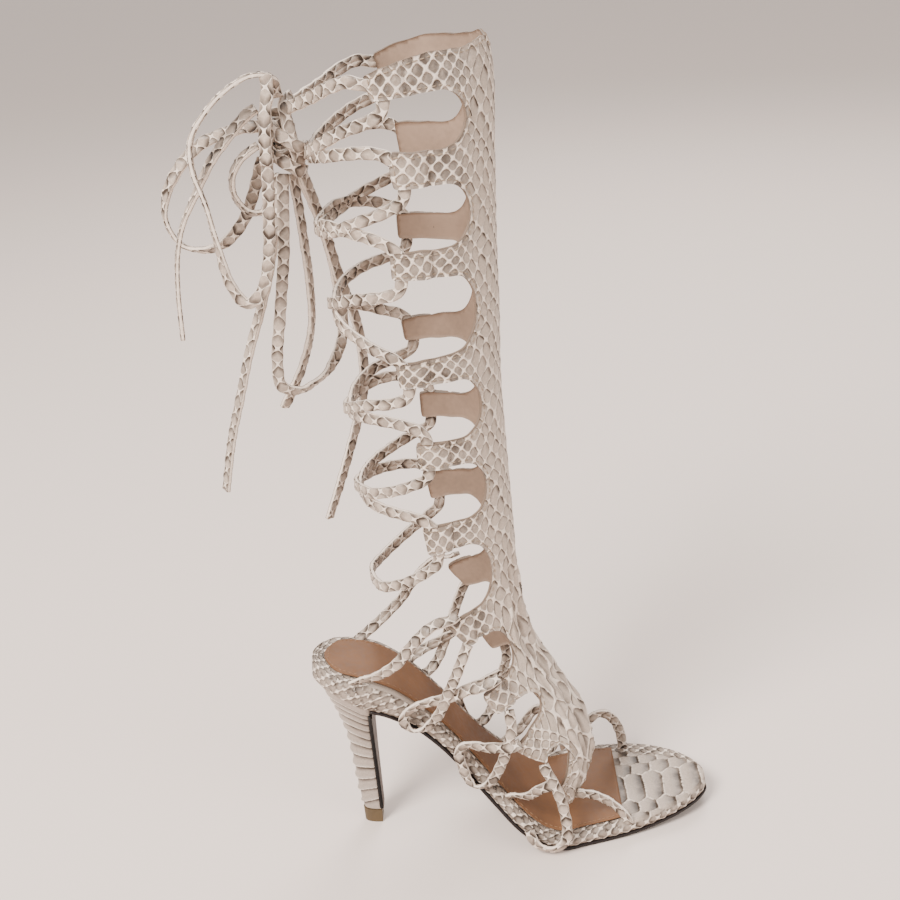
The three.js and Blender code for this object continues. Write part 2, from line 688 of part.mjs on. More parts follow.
// Routes are [x, y, z] stops, in order from the knot.
const bowRoutes = {
  bow_loop_1: {
    steps: 16,
    stops: [
      [-2, -5.6, 412.2], [-4, -9, 421.5], [-12, -11, 423], [-24, -12, 417.5], [-34, -13, 409],
      [-42, -14, 398], [-43.5, -15, 385], [-39.5, -16, 367], [-37, -16, 348], [-33.5, -16, 329], [-27, -17, 320],
      [-19.5, -18, 325], [-14, -18, 340], [-11, -18, 362], [-9, -17, 382], [-8, -13, 396],
    ],
  },
  bow_loop_2: {
    steps: 11,
    stops: [
      [-13.5, 5, 398], [-22, 8, 397.5], [-32, 10, 395], [-43, 12, 391], [-55, 14, 381], [-64, 15, 368],
      [-66.5, 15, 355], [-61, 15, 343], [-51, 14, 339.5], [-40, 13, 342], [-29, 12, 352], [-21, 10, 367],
      [-14.5, 7, 383],
    ],
  },
  bow_loop_3: {
    steps: 6,
    stops: [
      [-14.5, -1.5, 390.5], [-22, -2, 386], [-28, -1, 378], [-29, 1, 368], [-24, 4, 359], [-17, 6, 358],
      [-12, 6, 366], [-9.6, 6, 375],
    ],
  },
  bow_loop_4: {
    steps: 15,
    stops: [
      [-4, -6, 377.6], [-5.4, -8, 363], [-8, -9.5, 340], [-13, -10, 313], [-18, -9.5, 286], [-17.5, -8, 274],
      [-11, -4, 269.5], [-3, 4, 270], [5, 18, 274], [11, 32, 286], [10, 38, 314], [6, 33, 344], [1, 22, 368],
      [-1.6, 11.4, 384],
    ],
  },
  bow_end_1: {
    steps: 8,
    stops: [
      [-13, -1.6, 407.4], [-18, -3, 404.5], [-26, -5, 397], [-36, -6, 386], [-45, -6, 372], [-54, -5.5, 357],
      [-59, -5, 342], [-61.5, -5, 325], [-63, -5, 301],
    ],
  },
  bow_end_2: {
    steps: 7,
    stops: [
      [-0.6, 0.6, 376], [0.4, 1, 362], [1, 1.5, 342], [1, 3, 323], [-1, 5, 300], [-8, 6.5, 279],
      [-20, 7, 257],
    ],
  },
  bow_end_3: {
    steps: 10,
    stops: [
      [-6, 0.4, 376.4], [-9, 0.4, 362], [-13, 0, 347], [-17.5, -0.5, 330], [-23, -2, 314], [-32, -3.5, 291],
      [-40, -4, 267], [-47, -4, 246], [-54, -4, 218],
    ],
  },
  bow_end_4: {
    steps: 9,
    stops: [
      [1.6, 5.6, 382.4], [5, 12, 366], [9, 20, 344], [13, 26, 318], [19, 31, 290], [19.5, 29.5, 260],
      [14.5, 22, 241], [9, 15, 226], [2, 11, 208], [-5, 10, 191],
    ],
  },
};
const corners = [];
for (let k = 0; k < CORD_SIDES; k += 1) {
  const angle = (2 * Math.PI * k) / CORD_SIDES;
  const x = (CORD_DIAMETER / 2) * Math.cos(angle);
  const y = (CORD_DIAMETER / 2) * Math.sin(angle);
  corners.push(new THREE.Vector2(x, y));
}
const section = new THREE.Shape(corners);
for (const [name, { stops, steps }] of Object.entries(bowRoutes)) {
  const path = new THREE.CatmullRomCurve3(stops.map((at) => V(...at)), false, "centripetal");
  const tube = new THREE.ExtrudeGeometry(section, { steps, bevelEnabled: false, extrudePath: path });
  add(name, tube, laceLeather);
}

export default sandal;
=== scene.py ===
import math

import bpy
import numpy as np
from mathutils import Matrix, Vector
from mathutils.geometry import delaunay_2d_cdt


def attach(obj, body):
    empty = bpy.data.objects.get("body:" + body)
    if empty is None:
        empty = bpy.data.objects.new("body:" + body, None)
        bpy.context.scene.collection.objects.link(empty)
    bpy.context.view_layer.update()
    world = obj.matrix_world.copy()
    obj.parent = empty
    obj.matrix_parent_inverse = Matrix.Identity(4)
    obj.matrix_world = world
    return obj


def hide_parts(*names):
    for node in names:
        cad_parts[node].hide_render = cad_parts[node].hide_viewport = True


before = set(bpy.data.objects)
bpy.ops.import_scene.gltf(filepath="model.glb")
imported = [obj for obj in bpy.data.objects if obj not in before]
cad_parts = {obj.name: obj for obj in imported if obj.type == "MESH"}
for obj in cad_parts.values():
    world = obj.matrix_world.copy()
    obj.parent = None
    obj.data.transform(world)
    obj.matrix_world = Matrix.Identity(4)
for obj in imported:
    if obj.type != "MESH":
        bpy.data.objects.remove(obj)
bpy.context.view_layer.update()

MM = 0.001  # the pieces' sizes are in millimetres, and the frame is in metres

# ---------------------------------------------------------------------------
# The studio: a pale floor that runs out of sight, a big soft light from the
# upper left, a fill from the right, and a camera above and beside the shoe.
# Its places are in metres.
# ---------------------------------------------------------------------------
LENS, SENSOR_WIDTH, NEAREST, FARTHEST = 52.0, 36.0, 0.05, 60.0
CAMERA_PLACE = Vector((0.0830, -0.6072, 0.4977))
TURN, DOWN, ROLL = math.radians(-1.96), math.radians(23.8), math.radians(-4.82)
FLOOR_HALF, FLOOR_COLOUR, FLOOR_ROUGHNESS = 12.0, (0.84, 0.715, 0.645, 1), 0.6
SKY_COLOUR, SKY_STRENGTH = (1.0, 0.955, 0.92, 1), 0.85
LIGHT_AIM = Vector((0.05, 0, 0.2))
LIGHTS = [  # name, place, width, power, colour
    ("key_light", (-0.9, -1.1, 1.7), 0.9, 84, (1.0, 0.955, 0.91)),
    ("fill_light", (1.5, -0.9, 0.9), 1.2, 12, (1.0, 0.98, 0.97)),
    ("back_light", (0.5, 1.4, 1.5), 1.0, 22, (1.0, 0.98, 0.96)),
]


def new_object(name, data):
    obj = bpy.data.objects.new(name, data)
    bpy.context.scene.collection.objects.link(obj)
    return obj


def new_material(name):
    """A new material, its node tree and its shader's inputs."""
    material = bpy.data.materials.new(name)
    material.use_nodes = True
    return material, material.node_tree, material.node_tree.nodes["Principled BSDF"].inputs


camera_data = bpy.data.cameras.new("camera")
camera_data.sensor_width = SENSOR_WIDTH
camera_data.lens = LENS
camera_data.clip_start = NEAREST
camera_data.clip_end = FARTHEST
camera = new_object("camera", camera_data)
bpy.context.scene.camera = camera
level = Vector((math.cos(TURN), -math.sin(TURN), 0.0))
ahead = Vector((math.sin(TURN) * math.cos(DOWN), math.cos(TURN) * math.cos(DOWN), -math.sin(DOWN)))
upward = level.cross(ahead)
right = level * math.cos(ROLL) + upward * math.sin(ROLL)
top = upward * math.cos(ROLL) - level * math.sin(ROLL)
camera.matrix_world = Matrix.Translation(CAMERA_PLACE) @ Matrix((right, top, -ahead)).transposed().to_4x4()

floor_mesh = bpy.data.meshes.new("floor")
floor_corners = [(x * FLOOR_HALF, y * FLOOR_HALF, 0) for x, y in ((-1, -1), (1, -1), (1, 1), (-1, 1))]
floor_mesh.from_pydata(floor_corners, [], [(0, 1, 2, 3)])
floor_material, _, floor_shader = new_material("floor")
floor_shader["Base Color"].default_value = FLOOR_COLOUR
floor_shader["Roughness"].default_value = FLOOR_ROUGHNESS
floor_mesh.materials.append(floor_material)
new_object("floor", floor_mesh)

world = bpy.data.worlds.new("studio")
bpy.context.scene.world = world
world.use_nodes = True
world.node_tree.nodes["Background"].inputs["Color"].default_value = SKY_COLOUR
world.node_tree.nodes["Background"].inputs["Strength"].default_value = SKY_STRENGTH

for light_name, place, width, power, colour in LIGHTS:
    light_data = bpy.data.lights.new(light_name, "AREA")
    light_data.shape = "DISK"
    light_data.size = width
    light_data.energy = power
    light_data.color = colour
    light = new_object(light_name, light_data)
    light.location = place
    light.rotation_mode = "QUATERNION"
    light.rotation_quaternion = (Vector(place) - LIGHT_AIM).to_track_quat("Z", "Y")

# ---------------------------------------------------------------------------
# The bow: one long flat lace of folded, scale-embossed leather, tied behind
# the top pair of tabs. A short wrapped knot, four loops of different sizes
# and four ends that hang free behind the calf.
# ---------------------------------------------------------------------------
LACE_WIDTH = 5.9
LACE_THICK = 2.2
LACE_STEP = 1.1  # from one ring of a lace's mesh to the next
LACE_PITCH = 8.6  # along the lace, from one scale to the next
SCALE_SHARE = 0.34  # of a scale's whole width, from the middle of the lace to its edge
PLAIN = -1.0  # the kind of a place that has no scales
SCALE_ROUND = 1.45  # 1 makes diamonds, 2 makes ovals
SCALE_GAP = 0.19  # takes the net between rounded scales down to a line at its thinnest
LACE_RELIEF = 0.6  # from the low end of a scale to the top of the net


def distances(points):
    """How far along the line through the points each of them is."""
    return np.concatenate([[0], np.cumsum(np.linalg.norm(np.diff(points, axis=0), axis=1))])


def places_along(points, at):
    """Places on the line through the points, at distances from its start."""
    gone = distances(points)
    return np.stack([np.interp(at, gone, column) for column in points.T], 1)


def smooth_line(stops):
    """Evenly spaced points on a smooth line through the stops, and its length."""
    p = np.array(stops, float)
    p = np.vstack([2 * p[0] - p[1], p, 2 * p[-1] - p[-2]])
    out = [p[1]]
    for i in range(1, len(p) - 2):
        a, b, c, d = p[i - 1:i + 3]
        ab, bc, cd = (np.linalg.norm(y - x) ** 0.5 for x, y in ((a, b), (b, c), (c, d)))
        leave = bc * ((b - a) / ab - (c - a) / (ab + bc) + (c - b) / bc)
        reach = bc * ((c - b) / bc - (d - b) / (bc + cd) + (d - c) / cd)
        t = np.linspace(0, 1, 25)[1:, None]
        out.extend((2 * t**3 - 3 * t**2 + 1) * b + (t**3 - 2 * t**2 + t) * leave
                   + (3 * t**2 - 2 * t**3) * c + (t**3 - t**2) * reach)
    out = np.array(out)
    length = distances(out)[-1]
    count = max(int(round(length / LACE_STEP)), 4)
    return places_along(out, np.linspace(0, length, count + 1)), length


def unit(v):
    return v / np.maximum(np.linalg.norm(v, axis=-1, keepdims=True), 1e-9)


def wobble(x, y, seed):
    """A soft irregular wave between about -1 and 1, the same each run."""
    return (np.sin(1.00 * x + 0.61 * y + seed) + np.sin(-0.53 * x + 1.13 * y + 2.1 * seed + 1.3)
            + np.sin(1.71 * x - 1.37 * y + 3.7 * seed + 0.4)) / 2.4


def ring_faces(rings, count, flip=False):
    """Faces between closed rings of count points that follow one another."""
    faces = []
    for ring in range(0, (rings - 1) * count, count):
        for k in range(count):
            n = (k + 1) % count
            face = (ring + k, ring + n, ring + count + n, ring + count + k)
            faces.append(face[:1] + face[:0:-1] if flip else face)
    return faces


def make_object(name, points, faces, materials, face_slots=None, **point_layers):
    """A smooth mesh object from millimetre points, with the numbers its scale pattern needs."""
    mesh = bpy.data.meshes.new(name)
    mesh.from_pydata((np.asarray(points) * MM).tolist(), [], faces)
    for material in materials:
        mesh.materials.append(material)
    for layer_name, values in point_layers.items():
        layer = mesh.attributes.new(layer_name, "FLOAT_VECTOR", "POINT")
        layer.data.foreach_set("vector", np.asarray(values, np.float32).ravel())
    mesh.polygons.foreach_set("use_smooth", np.ones(len(mesh.polygons), bool))
    if face_slots is not None:
        mesh.polygons.foreach_set("material_index", np.asarray(face_slots, np.int32))
    mesh.update()
    return new_object(name, mesh)


def take_place(piece, node):
    """Fixes a piece to the shoe's one body, in place of a CAD node."""
    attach(piece, "root")
    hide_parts(node)


def lattice(a, b):
    """For lattice numbers a and b: how far inside a scale, and how far from its upper edges."""
    a = a - np.floor(a)
    b = b - np.floor(b)
    along, across = np.abs(a + b - 1), np.abs(a - b)
    inside = 1 - (along**SCALE_ROUND + across**SCALE_ROUND) ** (1 / SCALE_ROUND)
    return (inside - SCALE_GAP) / (1 - SCALE_GAP), np.minimum(a, b)


def emboss(inside, upper):
    """Height of the embossing from 0 to 1: a raised net, and scales that rise to their lower end."""
    net = np.exp(-(np.maximum(inside, 0) / 0.2) ** 2)
    return np.maximum(net, 0.1 + 0.65 * np.clip(upper / 0.5, 0, 1))


STRAP_SECTION = [  # across from the middle, out from the middle, as shares of half sizes
    (-1.0, 0.35), (-0.93, 0.85), (-0.7, 1.0), (-0.35, 0.93), (0.0, 0.86), (0.35, 0.93), (0.7, 1.0),
    (0.93, 0.85), (1.0, 0.35), (1.0, -0.35), (0.93, -0.85), (0.6, -1.0), (0.12, -0.94), (0.0, -0.55),
    (-0.12, -0.94), (-0.6, -1.0), (-0.93, -0.85), (-1.0, -0.35),
]


def strap(points, outs, start):
    """One lace's points, faces and scale numbers. outs is the way its face looks, and start says
    where on the leather's pattern it begins."""
    along = unit(np.gradient(points, axis=0))
    outs = unit(outs - along * np.sum(outs * along, 1, keepdims=True))
    side = np.cross(along, outs)
    gone = distances(points) + start
    made, scales = [], []
    for share, out in STRAP_SECTION:
        across = share * LACE_WIDTH / 2
        p = gone / LACE_PITCH + 0.12 * wobble(gone / 9, 0, start)
        q = share * SCALE_SHARE + 0.5 + 0.16 * wobble(gone / 21, 0, 2 + start)
        q = q + 0.04 * wobble(gone / 4, across, start)
        kind = 0.25 + 0.45 * wobble(gone / 16, 0, start + 1) if abs(share) < 1 else PLAIN + 0 * gone
        lift = LACE_RELIEF * (emboss(*lattice(p + q, p - q)) - 0.5) * (1 if out > 0.5 else 0.5)
        scallop = 0.91 + 0.10 * np.cos(math.pi * p) ** 2 + 0.03 * wobble(gone / 2.6, share, start)
        height = out * LACE_THICK / 2 + lift * np.sign(out)
        made.append(points + side * (across * scallop)[:, None] + outs * height[:, None])
        scales.append(np.stack([p + q, p - q, kind], 1))
    ring, total = len(STRAP_SECTION), len(STRAP_SECTION) * len(points)
    faces = ring_faces(len(points), ring) + [tuple(range(ring))[::-1], tuple(range(total - ring, total))]
    return np.stack(made, 1).reshape(-1, 3), faces, np.stack(scales, 1).reshape(-1, 3)


def facing(points, faces):
    """The way a lace's face looks at each point, from the ways given at a few shares of its length."""
    share = np.linspace(0, 1, len(points))
    ways = [np.interp(share, [s for s, _ in faces], [way[k] for _, way in faces]) for k in range(3)]
    return unit(np.stack(ways, 1))


def join(tree, inputs, values):
    """Links or sets each input that values names."""
    for name, value in values.items():
        if isinstance(value, bpy.types.NodeSocket):
            tree.links.new(value, inputs[name])
        else:
            inputs[name].default_value = value


def add_node(tree, kind, inputs=None, **settings):
    node = tree.nodes.new(kind)
    for key, value in settings.items():
        setattr(node, key, value)
    join(tree, node.inputs, inputs or {})
    return node


def maths(tree, operation, *values):
    return add_node(tree, "ShaderNodeMath", dict(enumerate(values)), operation=operation).outputs[0]


def times(tree, first, second):
    return maths(tree, "MULTIPLY", first, second)


def ramp(tree, value, low, high, to_low=0.0, to_high=1.0):
    sockets = {"Value": value, "From Min": low, "From Max": high, "To Min": to_low, "To Max": to_high}
    return add_node(tree, "ShaderNodeMapRange", sockets, interpolation_type="SMOOTHSTEP").outputs["Result"]


def mixed(tree, factor, first, second, blend="MIX"):
    sockets = {0: factor, 6: first, 7: second}
    return add_node(tree, "ShaderNodeMix", sockets, data_type="RGBA", blend_type=blend).outputs[2]


def noise(tree, scale, detail):
    """A value that varies smoothly over the object."""
    place = add_node(tree, "ShaderNodeTexCoord").outputs["Object"]
    sockets = {"Vector": place, "Scale": scale, "Detail": detail}
    return add_node(tree, "ShaderNodeTexNoise", sockets).outputs["Fac"]


def new_group(name, inputs, outputs):
    """A node group with named inputs and outputs: its tree, and the sockets inside it."""
    tree = bpy.data.node_groups.new(name, "ShaderNodeTree")
    for socket, (kind, value) in inputs.items():
        made = tree.interface.new_socket(name=socket, in_out="INPUT", socket_type="NodeSocket" + kind)
        made.default_value = value
    for socket, kind in outputs.items():
        tree.interface.new_socket(name=socket, in_out="OUTPUT", socket_type="NodeSocket" + kind)
    return tree, tree.nodes.new("NodeGroupInput").outputs, tree.nodes.new("NodeGroupOutput").inputs


# Turns lattice numbers into how far a point is inside a scale, how far it is from the scale's
# upper edges, a chance number that each scale keeps to itself, and the kind of place it is.
scale_lattice, entry, leave = new_group(
    "scale_lattice", {"Lattice": ("Vector", (0, 0, 0))},
    {"Inside": "Float", "Upper": "Float", "Chance": "Float", "Kind": "Float"})
tree = scale_lattice
numbers = add_node(tree, "ShaderNodeSeparateXYZ", {0: entry["Lattice"]}).outputs
first, second = (maths(tree, "FRACT", numbers[k]) for k in range(2))
along = maths(tree, "ABSOLUTE", maths(tree, "SUBTRACT", maths(tree, "ADD", first, second), 1.0))
across = maths(tree, "ABSOLUTE", maths(tree, "SUBTRACT", first, second))
off_middle = maths(tree, "ADD", *(maths(tree, "POWER", way, SCALE_ROUND) for way in (along, across)))
off_middle = maths(tree, "POWER", off_middle, 1 / SCALE_ROUND)
inside = maths(tree, "DIVIDE", maths(tree, "SUBTRACT", 1 - SCALE_GAP, off_middle), 1 - SCALE_GAP)
cell = add_node(tree, "ShaderNodeCombineXYZ", {k: maths(tree, "FLOOR", numbers[k]) for k in range(2)})
chance = add_node(tree, "ShaderNodeTexWhiteNoise", {"Vector": cell.outputs[0]}, noise_dimensions="3D")
join(tree, leave, {"Inside": inside, "Upper": maths(tree, "MINIMUM", first, second),
                   "Chance": chance.outputs["Value"], "Kind": numbers[2]})

# Colours the scales: a pale raised net, warm grey scales, each darker under its upper edges,
# partly the skin's own markings and partly painted shadow of the scale or ridge above.
scaled_finish, entry, leave = new_group(
    "scaled_finish", {
        "Inside": ("Float", 1.0), "Upper": ("Float", 1.0), "Chance": ("Float", 0.5), "Kind": ("Float", 0.0),
        "Shade": ("Float", 1.0), "Marks And Shadow Reach": ("Float", 0.30), "Net Width": ("Float", 0.12),
        "Net Color": ("Color", (0.82, 0.69, 0.585, 1)), "Scale Color": ("Color", (0.50, 0.40, 0.325, 1)),
        "Marks And Shadow Color": ("Color", (0.045, 0.029, 0.019, 1))},
    {"Color": "Color", "Roughness": "Float", "Height": "Float"})
tree = scaled_finish
mottle, grain, streaks = noise(tree, 130.0, 3.0), noise(tree, 1100.0, 2.0), noise(tree, 520.0, 2.0)
kind = maths(tree, "MAXIMUM", entry["Kind"], 0.0)
net_width = times(tree, entry["Net Width"], maths(tree, "MULTIPLY_ADD", kind, 1.1, 1.0))
wavy = maths(tree, "ADD", entry["Inside"], times(tree, maths(tree, "SUBTRACT", streaks, 0.5), 0.22))
scaled = ramp(tree, entry["Kind"], 0.85 * PLAIN, 0.3 * PLAIN)
body = times(tree, scaled, ramp(tree, wavy, times(tree, net_width, 0.2), net_width))
# Painted shadow and markings: each scale grows darker just under its upper edges.
marks_and_shadow = ramp(tree, entry["Upper"], 0.04, entry["Marks And Shadow Reach"], 1.0, 0.0)
# Kind darkens whole scales too: the tabs' own darker colour, and on the upper the painted shade of the folds'
# troughs.
marks_and_shadow = maths(tree, "MAXIMUM", marks_and_shadow, times(tree, kind, 0.72))
patchy = ramp(tree, mottle, 0.32, 0.68, 0.55, 1.1)
lively = maths(tree, "MULTIPLY_ADD", entry["Chance"], 0.5, 0.75)
marks_and_shadow_share = times(tree, times(tree, marks_and_shadow, entry["Shade"]), times(tree, patchy, lively))
marks_and_shadow_share = maths(tree, "MINIMUM", marks_and_shadow_share, 1.0)
scale_colour = mixed(tree, marks_and_shadow_share, entry["Scale Color"], entry["Marks And Shadow Color"])
fibres = ramp(tree, grain, 0.25, 0.75, 0.86, 1.08)
fibre_colour = add_node(tree, "ShaderNodeCombineColor", {k: fibres for k in range(3)}).outputs[0]
colour = mixed(tree, 1.0, mixed(tree, body, entry["Net Color"], scale_colour), fibre_colour, "MULTIPLY")
net_height = ramp(tree, wavy, 0.0, times(tree, net_width, 1.3), 1.0, 0.0)
height = maths(tree, "MAXIMUM", net_height, times(tree, ramp(tree, entry["Upper"], 0.05, 0.5), 0.6))
height = maths(tree, "MULTIPLY_ADD", grain, 0.12, times(tree, height, scaled))
join(tree, leave, {"Color": colour, "Roughness": ramp(tree, body, 0.0, 1.0, 0.60, 0.42), "Height": height})


def finish_with(tree, shader, group, values, specular, bump, depth):
    """Gives a shader its colour, roughness and bump from a finish group that takes the values."""
    finish = add_node(tree, "ShaderNodeGroup", values, node_tree=group).outputs
    sockets = {"Strength": bump, "Distance": depth, "Height": finish["Height"]}
    join(tree, shader, {"Base Color": finish["Color"], "Roughness": finish["Roughness"],
                        "Specular IOR Level": specular,
                        "Normal": add_node(tree, "ShaderNodeBump", sockets).outputs["Normal"]})


def scaled_leather(name, values, layer="scales"):
    """Embossed leather. Its pattern comes from the mesh's lattice numbers, or from its finished tone."""
    material, tree, shader = new_material(name)
    read = add_node(tree, "ShaderNodeAttribute", attribute_name=layer).outputs["Vector"]
    if layer == "scales":
        cells = add_node(tree, "ShaderNodeGroup", {"Lattice": read}, node_tree=scale_lattice).outputs
        pattern = {output: cells[output] for output in ("Inside", "Upper", "Chance", "Kind")}
    else:
        numbers = add_node(tree, "ShaderNodeSeparateXYZ", {0: read}).outputs
        pattern = dict(zip(("Inside", "Upper", "Kind"), numbers))
    finish_with(tree, shader, scaled_finish, {**pattern, **values}, specular=0.42, bump=1.0, depth=0.0008)
    return material


lace_leather = scaled_leather("lace_leather", {"Net Width": 0.085, "Marks And Shadow Reach": 0.6})


def lace_piece(name, straps, node):
    """One piece made of several laces, in place of a CAD node."""
    faces, base = [], 0
    for points, strap_faces, _ in straps:
        faces.extend(tuple(i + base for i in face) for face in strap_faces)
        base += len(points)
    piece = make_object(name, np.vstack([points for points, _, _ in straps]), faces, [lace_leather],
                        scales=np.vstack([scales for _, _, scales in straps]))
    take_place(piece, node)
    return piece


TO_FRONT = (0.16, -0.95, 0.27)
BOW = {  # each strand: its stops from the knot, and the way its face looks at shares of its length
    "bow_loop_1": ([
        (-2, -5.6, 412.2), (-4, -9, 421.5), (-12, -11, 423), (-24, -12, 417.5), (-34, -13, 409),
        (-42, -14, 398), (-43.5, -15, 385), (-39.5, -16, 367), (-37, -16, 348), (-33.5, -16, 329),
        (-27, -17, 320), (-19.5, -18, 325), (-14, -18, 340), (-11, -18, 362), (-9, -17, 382), (-8, -13, 396)],
        [(0, (-0.1, 0, 1)), (0.14, (-0.3, 0, 1)), (0.28, (-1, 0, 0.2)), (0.45, (-1, -0.25, 0)),
         (0.55, (-0.7, -0.7, 0)), (0.62, (-0.2, -0.9, -0.3)), (0.7, (0.1, -1, 0)), (1, TO_FRONT)]),
    "bow_loop_2": ([
        (-13.5, 5, 398), (-22, 8, 397.5), (-32, 10, 395), (-43, 12, 391), (-55, 14, 381), (-64, 15, 368),
        (-66.5, 15, 355), (-61, 15, 343), (-51, 14, 339.5), (-40, 13, 342), (-29, 12, 352), (-21, 10, 367),
        (-14.5, 7, 383)],
        [(0, TO_FRONT), (0.2, TO_FRONT), (0.36, (-0.7, -0.8, 0.2)), (0.46, (-1, -0.3, -0.2)),
         (0.56, (-0.2, -0.2, -1)), (0.68, (0.4, -0.7, -0.5)), (0.8, TO_FRONT), (1, TO_FRONT)]),
    "bow_loop_3": ([
        (-14.5, -1.5, 390.5), (-22, -2, 386), (-28, -1, 378), (-29, 1, 368), (-24, 4, 359), (-17, 6, 358),
        (-12, 6, 366), (-9.6, 6, 375)],
        [(0, (-0.3, -0.3, 1)), (0.4, (-1, -0.4, 0)), (0.72, (0, -0.5, -1)), (1, (0.5, -0.8, -0.3))]),
    "bow_loop_4": ([
        (-4, -6, 377.6), (-5.4, -8, 363), (-8, -9.5, 340), (-13, -10, 313), (-18, -9.5, 286),
        (-17.5, -8, 274), (-11, -4, 269.5), (-3, 4, 270), (5, 18, 274), (11, 32, 286), (10, 38, 314),
        (6, 33, 344), (1, 22, 368), (-1.6, 11.4, 384)],
        [(0, TO_FRONT), (0.36, TO_FRONT), (0.44, (-0.5, -0.8, -0.3)), (0.5, (-0.1, -0.9, -0.4)),
         (0.6, (0.2, -0.9, -0.2)), (0.74, (0.9, -0.4, 0)), (1, (1, -0.3, 0))]),
    "bow_end_1": ([
        (-13, -1.6, 407.4), (-18, -3, 404.5), (-26, -5, 397), (-36, -6, 386), (-45, -6, 372),
        (-54, -5.5, 357), (-59, -5, 342), (-61.5, -5, 325), (-63, -5, 301)],
        [(0, (-0.3, -0.8, 0.6)), (0.3, (-0.6, -0.5, 0.6)), (0.5, (-0.9, -0.2, 0.3)), (1, (-1, -0.2, 0.1))]),
    "bow_end_2": ([
        (-0.6, 0.6, 376), (0.4, 1, 362), (1, 1.5, 342), (1, 3, 323), (-1, 5, 300), (-8, 6.5, 279),
        (-20, 7, 257)],
        [(0, (0.9, -0.5, 0)), (0.6, (1, -0.25, 0)), (1, (0.8, -0.7, 0))]),
    "bow_end_3": ([
        (-6, 0.4, 376.4), (-9, 0.4, 362), (-13, 0, 347), (-17.5, -0.5, 330), (-23, -2, 314),
        (-32, -3.5, 291), (-40, -4, 267), (-47, -4, 246), (-54, -4, 218)],
        [(0, (-0.5, -0.9, 0.2)), (0.5, (-0.8, -0.6, 0)), (1, (-0.9, -0.6, 0))]),
    "bow_end_4": ([
        (1.6, 5.6, 382.4), (5, 12, 366), (9, 20, 344), (13, 26, 318), (19, 31, 290), (19.5, 29.5, 260),
        (14.5, 22, 241), (9, 15, 226), (2, 11, 208), (-5, 10, 191)],
        [(0, (0.9, -0.5, 0)), (0.6, (0.8, -0.7, 0)), (1, (0.9, -0.5, 0))]),
}
for strand, (name, (stops, faces)) in enumerate(BOW.items()):
    route, length = smooth_line(stops)
    lace = lace_piece(name + "_lace", [strap(route, facing(route, faces), 13.7 * strand)], name)

# The knot: the lace wound round itself, each turn lying on the one below.
KNOT_MIDDLE = np.array([-4.5, 0, 395.0])
KNOT_HALF = np.array([4.4, 4.8, 12.5])
KNOT_TURNS = [  # tilt of the turn in degrees, its height above the middle, how far round, lift
    (14, 7.5, 380, 0.0), (-22, 1.0, 370, 0.6), (30, -5.5, 365, 1.0), (8, -10.5, 340, 0.3),
]
KNOT_STRAPS = [  # laid over the turns, from the knot's upper end to its lower
    [(3, 4, 411), (0.5, -5, 409), (1.5, -9.3, 401), (3.2, -9.8, 391), (4.6, -7, 382), (4.4, 1, 376.5)],
    [(-10, 3, 407), (-10, -5, 403.5), (-5, -11.4, 398.5), (1.5, -12.2, 393), (6.4, -8, 389), (7.4, 1, 388)],
    [(-10, 1, 390), (-8, -7, 388), (-2, -11.4, 384), (4, -8.6, 379), (6, -1, 377)],
    [(-9, -17.6, 384), (-8.4, -16.8, 396), (-6.8, -15.2, 408), (-5, -13, 417), (-5.4, -11, 423.4)],
]
turns = []
for k, (tilt, height, round_degrees, lift) in enumerate(KNOT_TURNS):
    angle = np.radians(np.linspace(0, round_degrees, 46) + 70 * k)
    lean = math.radians(tilt)
    flat = np.stack([np.cos(angle), np.sin(angle) * math.cos(lean), np.sin(angle) * math.sin(lean)], 1)
    on_ball = unit(flat + [0, 0, height / KNOT_HALF[2]])
    outs = unit(on_ball / KNOT_HALF)
    rise = 0.8 + lift + 0.004 * np.degrees(angle - angle[0])[:, None]
    turns.append(strap(KNOT_MIDDLE + on_ball * KNOT_HALF + outs * rise, outs, 31.0 * k))
for k, stops in enumerate(KNOT_STRAPS):
    route, _ = smooth_line(stops)
    outs = unit((route - KNOT_MIDDLE) * [1, 1, 0.2] + [1.5, -3, 0])
    turns.append(strap(route, outs, 23.0 * k + 5))
lace_piece("bow_knot_turns", turns, "bow_knot")

# ---------------------------------------------------------------------------
# The upper: one piece of python-embossed calf, lined with smooth tan leather.
# A spine runs from the toes up the shin, and the ends of its paired tabs are
# folded back and stitched into short tunnels that the lace runs through.
# ---------------------------------------------------------------------------
FORM = [  # front x, y, z of each section of the leg and foot, lean in degrees, half depth, half width
    (94.2, 0, 438, 0, 43.5, 39.5), (96, 0, 412, 0, 43.5, 39.5), (94.4, 0, 380, 0, 43, 39),
    (92.6, 0, 330, 0, 40.8, 37), (90.8, 0, 256, 0, 38.6, 34.5), (91.6, 0, 200, 0, 38.4, 33),
    (92.2, 0, 160, 4, 38, 32), (94, 0, 137, 14, 36.5, 31.5), (99, -0.5, 116, 26, 35, 32),
    (107, -1, 99, 33, 34, 32.5), (117, -1, 82, 36, 33.5, 33), (125.5, -1.5, 64, 30, 32, 33),
    (129.5, -2, 46, 16, 29, 31), (128, -2.5, 29, 4, 25, 28), (125, -3, 14, 0, 22, 25),
]
PEAK_RISE = 8.0  # the first section is this far above the place where distances down start


